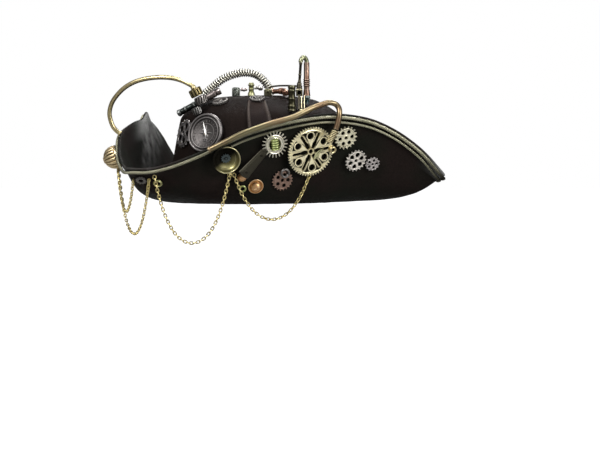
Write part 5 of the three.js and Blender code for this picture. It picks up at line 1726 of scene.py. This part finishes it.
@dataclass
class UprightPipe:
    """The pipe that stands on the shoulder: a thin leg, a bend, a ribbed copper leg and its stand."""

    bend_height: float = 131.6
    bend_radius: float = 2.1
    bend_rows: Rows = ((0, 0), (0, 0.8), (0.15, 3.4), (0.5, 4.9), (0.85, 3.4), (1, 0.8), (1, 0))
    thin_foot: tuple = (36.4, -44, 113.1)
    thin_top: tuple = (37.6, -44)
    seam: float = 0.35
    thin_rows: Rows = (
        (0, 0), (1.6, 0), (1.6, 1.2), (1.3, 1.5), (1.3, 6), (1.55, 6.3), (1.55, 7.3), (1.3, 7.6),
    )
    leg_across: float = 43.2
    leg_deep: float = -40.4
    leg_height: float = 105.8
    ribs: int = 4
    rib_pitch: float = 1.9
    cone_height: float = 99.85
    cone_rows: Rows = ((0, 0), (3.6, 0), (3.6, 0.8), (3.4, 1.1), (3, 5), (3, 6), (0, 6))
    collar_height: float = 91.8
    collar_rows: Rows = (
        (2.2, 0, 0), (2.6, 0.3, 0), (2.6, 3.9, 0), (3.4, 4.3, 1), (3.5, 4.7, 1), (3.5, 5.2, 1), (2.9, 5.6, 0),
        (3.5, 6, 1), (3.5, 6.9, 1), (3.2, 7.7, 0), (3.2, 8.1, 0), (2, 8.1, 0),
    )

    def thin_leg(self) -> Form:
        """The thin leg with a band near its foot."""
        foot, top = dressed(*self.thin_foot), dressed(*self.thin_top, self.bend_height - self.seam)
        tall = float(np.linalg.norm(top - foot))
        rows = [*self.thin_rows, (1.3, tall - 2), (1.6, tall - 1.6), (1.6, tall + 0.4), (0, tall + 0.4)]
        return lathe(rows, 20, 0.12).placed(aimed(foot, top))

    def bend(self) -> Form:
        """The bend over the two legs."""
        start = dressed(*self.thin_top, self.bend_height)
        end = dressed(self.leg_across, self.leg_deep, self.bend_height)
        points = [start + (end - start) * share + UP * rise for share, rise in self.bend_rows]
        return sweep(spline(points, 40), self.bend_radius, 24)

    def copper_leg(self) -> Form:
        """The thick leg with ribs near its foot."""
        rows = [(0, 0), (2.7, 0), (2.7, 2.6)]
        for rib in range(self.ribs):
            low = 3.0 + rib * self.rib_pitch
            rows += [(2.7, low), (3.4, low + 0.35), (3.4, low + 0.85), (2.7, low + 1.2)]
        height = self.bend_height - 105.75
        return lathe([*rows, (2.7, height), (0, height)], 32, 0.12)

    def build(self) -> None:
        """Makes the pipe from its thin leg round to the stand."""
        place = self.leg_across, self.leg_deep
        make("pipe_thin_leg", self.thin_leg(), DARK_BRONZE)
        make("pipe_bend", self.bend(), BEND_GOLD, sharp=50)
        stand("pipe_copper_leg", self.copper_leg(), DULL_COPPER, *place, self.leg_height)
        stand("copper_cone", lathe(self.cone_rows, 32), DULL_COPPER, *place, self.cone_height)
        stand("ribbed_collar", fluted(self.collar_rows, 0.7, 14), TEAL_STEEL, *place, self.collar_height)


@dataclass
class BrimTube:
    """The tube along the left rim, which rises and bends down over the flap, with its ferrule and eye."""

    radius: float = 2.6
    # Share of the rim from the front corner to the rear one, distance outwards, and rise
    rows: Rows = (
        (0.247, 7, -0.9), (0.285, 7, -0.7), (0.329, 7, 0.2), (0.363, 7, 0.6), (0.399, 7.2, 1.4),
        (0.439, 7.2, 1.8), (0.462, 7, 2.5), (0.493, 6.2, 5.5), (0.516, 5, 7.7), (0.54, 4.6, 9.6),
        (0.563, 4.6, 11), (0.58, 4.8, 9.2), (0.5865, 6.4, 5.6), (0.5865, 7.9, 1.4), (0.582, 8.4, -7),
        (0.576, 8, -13.6),
    )
    cap_rows: Rows = ((0, 0), (2, 0), (2.9, 0.6), (2.9, 2), (2.6, 2.3), (0, 2.3))
    ferrule_start: tuple = (0.5752, 7.9, -14.9)
    ferrule_end: tuple = (0.558, 6.8, -25.5)
    ferrule_core: float = 2.3
    ferrule_wire: float = 0.62
    rim_steps: int = 2000

    def beside_rim(self, along: float, out: float, rise: float) -> Array:
        """A point beside the left rim.

        Args:
            along: the share of the rim from the front corner to the rear one.
            out: the distance outwards.
            rise: the distance up.

        Returns:
            The point.
        """
        rim = spline([row[0] for row in SIDE_ROWS], self.rim_steps + 1, power=0, even=False)
        here = round(along * self.rim_steps)
        ahead = rim[here + 20] - rim[here - 20]
        aside = unit(np.cross([ahead[0], ahead[1], 0], UP))
        return rim[here] + aside * out + UP * rise

    def build(self) -> None:
        """Makes the tube, the ferrule at its end and the eye beside it."""
        path = spline([self.beside_rim(*row) for row in self.rows], 130)
        cap = lathe(self.cap_rows, 28).placed(aimed(path[0], path[5]))
        make("brim_tube", together(sweep(path, self.radius, 28), cap), TUBE_GOLD, sharp=50)
        line = np.linspace(self.beside_rim(*self.ferrule_start), self.beside_rim(*self.ferrule_end), 30)
        core = sweep(line, self.ferrule_core, 20)
        wire = coil(line, 2.6, self.ferrule_wire, 8, 18, 8)
        make("tube_ferrule", together(core, wire), BRASS, sharp=60, dirt_and_shade_mark=1.2)
        fit("eye_ring", together(ring_of(2.4, 1.0, 1.0, 32, 12), ring_of(2.4, 0.45, 1.9, 32, 8)), BRASS)


@dataclass
class FlapGears:
    """The clock gear with its leaf, and the three gears that run back from it."""

    radius: float = 23.6
    thickness: float = 2.0
    bosses: int = 6
    boss_reach: float = 15.3
    boss_hole: float = 3.2
    drop_radius: float = 4.3
    drop_tip: tuple = (4.6, 0.3)
    drop_sweep: float = 2.15
    wedge: Rows = ((3.3, -1.3), (6.6, -2.2), (10.5, -1.4), (18.2, -1.3), (19.2, 0), (18.2, 1.3), (10.5, 1.4),
                   (6.6, 2.2), (3.3, 1.3))
    leaf_top: Rows = ((-6.5, -2.5, 0), (-3, 1.4, 0), (1.5, 3.3, 0), (6.5, 3.2, 0))
    leaf_low: Rows = ((6.5, 3.2, 0), (2.2, 0.9, 0), (-0.5, -2.6, 0), (-3.4, -3.3, 0), (-6.5, -2.5, 0))
    leaf_vein: Rows = ((-5.6, -2.3, 1.2), (-1.2, 0.2, 1.4), (4.8, 2.7, 1.2))

    def drop(self) -> Array:
        """A teardrop outline round one boss, its point towards the gear's centre."""
        arc = [(self.boss_reach + self.drop_radius * math.cos(a), self.drop_radius * math.sin(a))
               for a in np.linspace(-self.drop_sweep, self.drop_sweep, 21)]
        return np.array([*arc, self.drop_tip, self.drop_tip * np.array([1, -1])])

    def clock_gear(self) -> Form:
        """The large gear: a finely toothed rim, six drop-shaped bosses and slots between them."""
        wedges = []
        for slot in range(self.bosses):
            angle = slot * math.pi / 3
            c, s = math.cos(angle), math.sin(angle)
            wedges.append(np.array([(x * c - y * s, x * s + y * c) for x, y in self.wedge]))
        outline = gear_outline(self.radius, 1.9, 52, Tooth.FINE)
        holes = hole_ring(self.bosses, self.boss_reach, self.boss_hole, 30, 24)
        body = plate([outline, circle(2.2), *holes, *wedges], self.thickness, 0.15)
        forms = [body, ring_of(20.4, 0.45, self.thickness - 0.1, 90, 8)]
        for boss in range(self.bosses):
            angle = math.radians(30) + boss * TURN / self.bosses
            raised = plate([self.drop(), circle(self.boss_hole, self.boss_reach)], 0.9, 0.25)
            forms.append(raised.lifted(self.thickness - 0.05).turned(angle))
        return together(*forms)

    def leaf(self) -> Form:
        """The small curled leaf across the gear's middle."""
        top, low = spline(self.leaf_top, 14), spline(self.leaf_low, 14)
        body = plate([np.vstack([top[:-1], low[:-1]])[:, :2]], 1.2, 0.3)
        return together(body, sweep(spline(self.leaf_vein, 14), np.linspace(0.5, 0.2, 14), 8))

    def small_gear(self, radius: float, height: float, teeth: int, openings: list, hub: float,
                   rim: float) -> Form:
        """A smaller gear with openings, and with a raised ring at its hub and near its rim."""
        body = plate([gear_outline(radius, height, teeth, Tooth.POINTED), *openings], 1.6, 0.15)
        return together(body, ring_of(hub, 0.35, 1.55, 24, 8), ring_of(rim, 0.32, 1.55, 48, 8))

    def build(self) -> None:
        """Makes the four gears and the leaf."""
        fit("clock_gear", self.clock_gear(), CLOCK_GOLD)
        fit("gold_leaf", self.leaf(), OLIVE_GOLD)
        holes = [circle(1.6), *hole_ring(6, 6.1, 1.85, 15)]
        fit("gear_two", self.small_gear(11.4, 1.9, 18, holes, 2.1, 9.1), GEAR_GOLD)
        holes = [circle(1.7), *petals(6, 3.3, 8.2, 0.24, 30)]
        fit("gear_three", self.small_gear(10.9, 1.7, 18, holes, 2.3, 8.8), GEAR_SILVER)
        holes = [circle(1.2), *petals(5, 2.4, 5.4, 0.26, 90)]
        fit("gear_four", self.small_gear(7.1, 1.1, 13, holes, 1.7, 5.7), GEAR_PEWTER)


@dataclass
class LeverAndDish:
    """The long-toothed gear with its hub and lever, and the watch dish."""

    teeth: int = 22
    hub_ribs: int = 5
    rib_pitch: float = 2.15
    hub_length: float = 10.8
    lever_outline: Rows = ((-15.5, -5.5), (13, -3.6), (17, 0), (13, 3.6), (-15.5, 5.5), (-17, 0))
    lever_rib: Rows = ((-13.5, -4), (11.5, -2.2), (14, 0), (11.5, 2.2), (-13.5, 4), (-14.5, 0))
    lever_screws: tuple = (-11, 9.5)
    screw_rows: Rows = ((0, 0), (1.7, 0), (1.7, 0.5), (1.2, 0.9), (0, 0.9))
    dish_rows: Rows = (
        (0, 0), (4.6, 0), (7.6, 0.8), (9.8, 2.1), (11.5, 4), (12.5, 6.2), (12.9, 7), (12.9, 7.8), (12.4, 8.3),
        (11.8, 8), (11.4, 6.5), (10.5, 4.7), (9.1, 3.1), (7.1, 2), (4.5, 1.4), (0, 1.4),
    )
    bowl_reach: float = 12.0
    bowl_floor: float = 1.2
    arbor_rows: Rows = ((0, 0), (1, 0), (1, 2), (0.6, 2.4), (0, 2.4))

    def long_gear(self) -> Form:
        """The bright ring with long spiky teeth."""
        body = plate([gear_outline(12.6, 3.4, self.teeth, Tooth.SPIKE), circle(5.7, sides=32)], 1.6, 0.15)
        return together(body, ring_of(8.5, 0.55, 1.6, 60, 8), ring_of(6.3, 0.4, 1.6, 48, 8))

    def hub(self) -> Form:
        """The ribbed drum that lies across the gear's bore."""
        rows = [(0, 0), (3.0, 0)]
        for rib in range(self.hub_ribs):
            low = 0.2 + rib * self.rib_pitch
            rows += [(3.3, low), (4.1, low + 0.45), (4.1, low + 1.35), (3.3, low + 1.8)]
        drum = lathe([*rows, (3.0, self.hub_length), (0, self.hub_length)], 32, 0.15)
        return on_axis(drum.lifted(-self.hub_length / 2), 4.3)

    def lever(self) -> Form:
        """The dark wedge with a rib and two screws."""
        body = plate([self.lever_outline], 1.8, 0.5)
        rib = plate([self.lever_rib], 0.7, 0.3).lifted(1.75)
        screw = lathe(self.screw_rows, 20, 0.12)
        return together(body, rib, *(screw.shifted(x, 0, 2.2) for x in self.lever_screws))

    def dish(self) -> Form:
        """The watch dish: a thin bowl with a rolled rim."""
        return together(lathe(self.dish_rows, 56, 0.2), ring_of(9.1, 0.3, 3.3, 48, 6))

    def shade(self, dish: Form, placed: Form) -> Array:
        """How dark each point of the dish is: bright towards the rear and low in the bowl.

        Args:
            dish: the dish in its own frame.
            placed: the dish in its seat.

        Returns:
            A mark from 0 for bright to 1 for dark, for each point.
        """
        x, y, z = dish.points.T
        bowl = (np.hypot(x, y) < self.bowl_reach) & (z > self.bowl_floor)
        off = (placed.points - placed.points.mean(0)) / self.bowl_reach
        rearwards, high = off @ dressed(1, 0, 0), off[:, 2]
        marks = np.where(bowl, 0.95 + 0.9 * high - 0.7 * rearwards, 0.35 - 1.1 * rearwards + 0.4 * high)
        return np.clip(marks, 0, 1)

    def dish_gear(self) -> Form:
        """The small gear that lies in the dish, with its arbor."""
        body = plate([gear_outline(4.6, 0.9, 12, Tooth.POINTED), circle(1.2)], 1.2, 0.12)
        return together(body, ring_of(2.0, 0.35, 1.2, 24, 6), lathe(self.arbor_rows, 16, 0.1))

    def build(self) -> None:
        """Makes the long-toothed gear, hub, lever, dish and the gear in it."""
        fit("long_tooth_gear", self.long_gear(), SILVER_GOLD)
        fit("turned_hub", self.hub(), GREEN_BRONZE)
        fit("lever", self.lever(), LEVER_BRONZE)
        dish = self.dish()
        placed = dish.placed(seat("watch_dish"))
        # The dish's mark is painted shade and highlight, laid on through the metal's dark colour.
        make("watch_dish", placed, DISH_BRASS, marks={"dirt_and_shade_mark": self.shade(dish, placed)}, dirt_and_shade_mark=0)
        fit("dish_gear", self.dish_gear(), DIM_TEAL)


@dataclass
class LowFlapPieces:
    """The copper gear, the rivets and the small rings low on the left flap and at the front corner."""

    rivet_front: Rows = ((0, 0), (4.4, 0), (4.4, 0.7), (3.9, 1), (3.6, 2.1), (2.8, 3.1), (1.6, 3.8), (0, 4))
    rivet_rear: Rows = (
        (0, 0), (6.8, 0), (7.2, 0.4), (7.2, 0.9), (6.6, 1.1), (5.4, 1), (4.9, 1.2), (4.6, 2.2), (4, 3.3),
        (2.9, 4.2), (1.5, 4.9), (0, 5),
    )

    def copper_gear(self) -> Form:
        """The copper gear with five round holes."""
        holes = hole_ring(5, 5.4, 1.75)
        body = plate([gear_outline(10.2, 1.3, 20, Tooth.POINTED), circle(1.6), *holes], 1.6, 0.15)
        return together(body, ring_of(8.0, 0.35, 1.55, 48, 8), ring_of(2.4, 0.35, 1.55, 24, 8))

    def double_ring(self, radius: float, sides: int, wire_sides: int) -> Form:
        """A thick ring with a thin one on its face."""
        return together(ring_of(radius, 1.1, 1.1, sides, wire_sides), ring_of(radius, 0.4, 2.1, sides, 8))

    def build(self) -> None:
        """Makes all the small pieces."""
        fit("copper_gear", self.copper_gear(), BROWN_COPPER)
        fit("pewter_ring", self.double_ring(3.6, 36, 14), PEWTER)
        fit("rivet_front", lathe(self.rivet_front, 36, 0.2), BRIGHT_COPPER)
        fit("rivet_rear", lathe(self.rivet_rear, 40, 0.2), BRIGHT_COPPER)
        fit("dark_ring", ring_of(2.8, 0.9, 0.9, 30, 12), GREEN_BRONZE)
        corner = plate([gear_outline(5.2, 0.9, 12, Tooth.POINTED), circle(2.2)], 1.2, 0.12)
        fit("front_ring_gear", together(corner, ring_of(3.1, 0.35, 1.2, 28, 8)), PEWTER)
        fit("front_bronze_ring", self.double_ring(3.4, 32, 12), OLIVE_BRONZE)


@dataclass
class RibbedDome:
    """The ribbed dome on the right flap's outer face."""

    flutes: int = 18
    groove: float = 1.1
    rows: Rows = (
        (9, 0, 0), (9.6, 0.2, 0), (11, 1, 0), (11, 1.7, 0), (10.7, 2.1, 0), (11.2, 2.8, 0.7), (11.2, 4.4, 1),
        (10.6, 7.8, 1), (9, 11, 1), (6.3, 13.4, 0.9), (3.9, 14.6, 0.5), (3.1, 14.8, 0), (2.9, 15.4, 0),
        (1.4, 15.6, 0),
    )

    def build(self) -> None:
        """Makes the dome with its foot ring and button."""
        fit("ribbed_dome", fluted(self.rows, self.groove, self.flutes, 0, 2), DOME_BRASS, 50)


def hanging_line(start: Array, end: Array, lowest: float, count: int) -> Array:
    """The line of a chain that hangs between two ends down to a lowest height.

    Args:
        start: one end.
        end: the other end.
        lowest: the height of its lowest point.
        count: how many points to give back.

    Returns:
        Evenly spaced points of the catenary.
    """
    run = np.array([*(end - start)[:2], 0.0])
    width = float(np.linalg.norm(run))
    drops = (start[2] - lowest, end[2] - lowest)
    slack, tight = 0.5, 5000.0
    for _ in range(60):
        pull = (slack + tight) / 2
        if sum(pull * math.acosh(1 + drop / pull) for drop in drops) < width:
            slack = pull
        else:
            tight = pull
    left = -tight * math.acosh(1 + drops[0] / tight)
    along = np.linspace(0, width, 600)
    line = start + run / width * along[:, None]
    line[:, 2] = lowest + tight * (np.cosh((left + along) / tight) - 1)
    return evenly(line, count)


@dataclass
class HangingChains:
    """The four chains, each of real links that pass through one another."""

    wire: float = 0.48
    width: float = 3.4
    length: float = 5.0
    # How much of a link its neighbours take up, in wire radii
    overlap: float = 4.1
    # How far a link may roll from its proper turn, in degrees
    unrest: float = 9
    jump_radius: float = 1.7
    jump_wire: float = 0.4
    seed: int = 11
    # Name, one end, the other end, and the height of the lowest point
    chains: tuple = (
        ("chain_short", (-74.18, -121.46, 27.84), (-7.51, -166.02, 21.54), -8.69),
        ("chain_left", (-77.28, -118.13, 29.39), (11.43, -164.24, 22.08), -29.3),
        ("chain_front", (17.92, -163.48, 25.17), (67.63, -116.21, 27.25), -35.26),
        ("chain_side", (70.28, -112.82, 27.14), (105.11, -49.18, 25.58), -14.18),
    )

    def link(self) -> Form:
        """One long link with its length along x."""
        bend = self.width / 2 - self.wire
        half = self.length / 2 - self.wire - bend
        right = [(half + bend * math.cos(a), bend * math.sin(a), 0)
                 for a in np.linspace(-math.pi / 2, math.pi / 2, 7)]
        left = [(-x, -y, 0) for x, y, _ in right]
        return sweep(np.array(right + left), self.wire, 6, closed=True)

    def chain(self, start: Array, end: Array, lowest: float) -> Form:
        """One hanging chain with a jump ring at each end.

        Args:
            start: one end.
            end: the other end.
            lowest: the height of its lowest point.

        Returns:
            All its links as one mesh.
        """
        pitch = self.length - self.overlap * self.wire
        rough = hanging_line(start, end, lowest, 400)
        line = evenly(rough, round(length_of(rough) / pitch) + 1)
        ahead, side, over = frames(line)
        link = self.link()
        dice = random.Random(self.seed)
        forms = []
        for index, point in enumerate(line):
            roll = math.radians(45 + 90 * (index % 2) + dice.uniform(-self.unrest, self.unrest))
            place = np.eye(4)
            place[:3, 0] = ahead[index]
            place[:3, 1] = side[index] * math.cos(roll) + over[index] * math.sin(roll)
            place[:3, 2] = np.cross(place[:3, 0], place[:3, 1])
            place[:3, 3] = point
            forms.append(link.placed(place))
        ring = ring_of(self.jump_radius, self.jump_wire, 0, 20, 8)
        for point, near in ((line[0], line[1]), (line[-1], line[-2])):
            forms.append(ring.placed(basis(point, np.cross(near - point, UP))))
        return together(*forms)

    def build(self) -> None:
        """Makes the four chains."""
        for name, start, end, lowest in self.chains:
            make(name, self.chain(np.array(start), np.array(end), lowest), CHAIN_GOLD, sharp=60, dirt_and_shade_mark=0)


def main() -> None:
    """Builds the studio and every piece of the hat in order."""
    logging.basicConfig(level=logging.INFO, format="%(message)s")
    Studio().build()
    brim = Brim()
    wall = brim.build()
    RimCords().build(wall, brim.outwards(wall))
    Crown().build()
    for assembly in (Compass, CrownOrnaments, HoseEnd, SpringArch, ValveRow, ShoulderFittings, UprightPipe,
                     BrimTube, FlapGears, LeverAndDish, LowFlapPieces, RibbedDome, HangingChains):
        LOG.info("%s", assembly.__doc__)
        assembly().build()


if __name__ == "__main__":
    main()
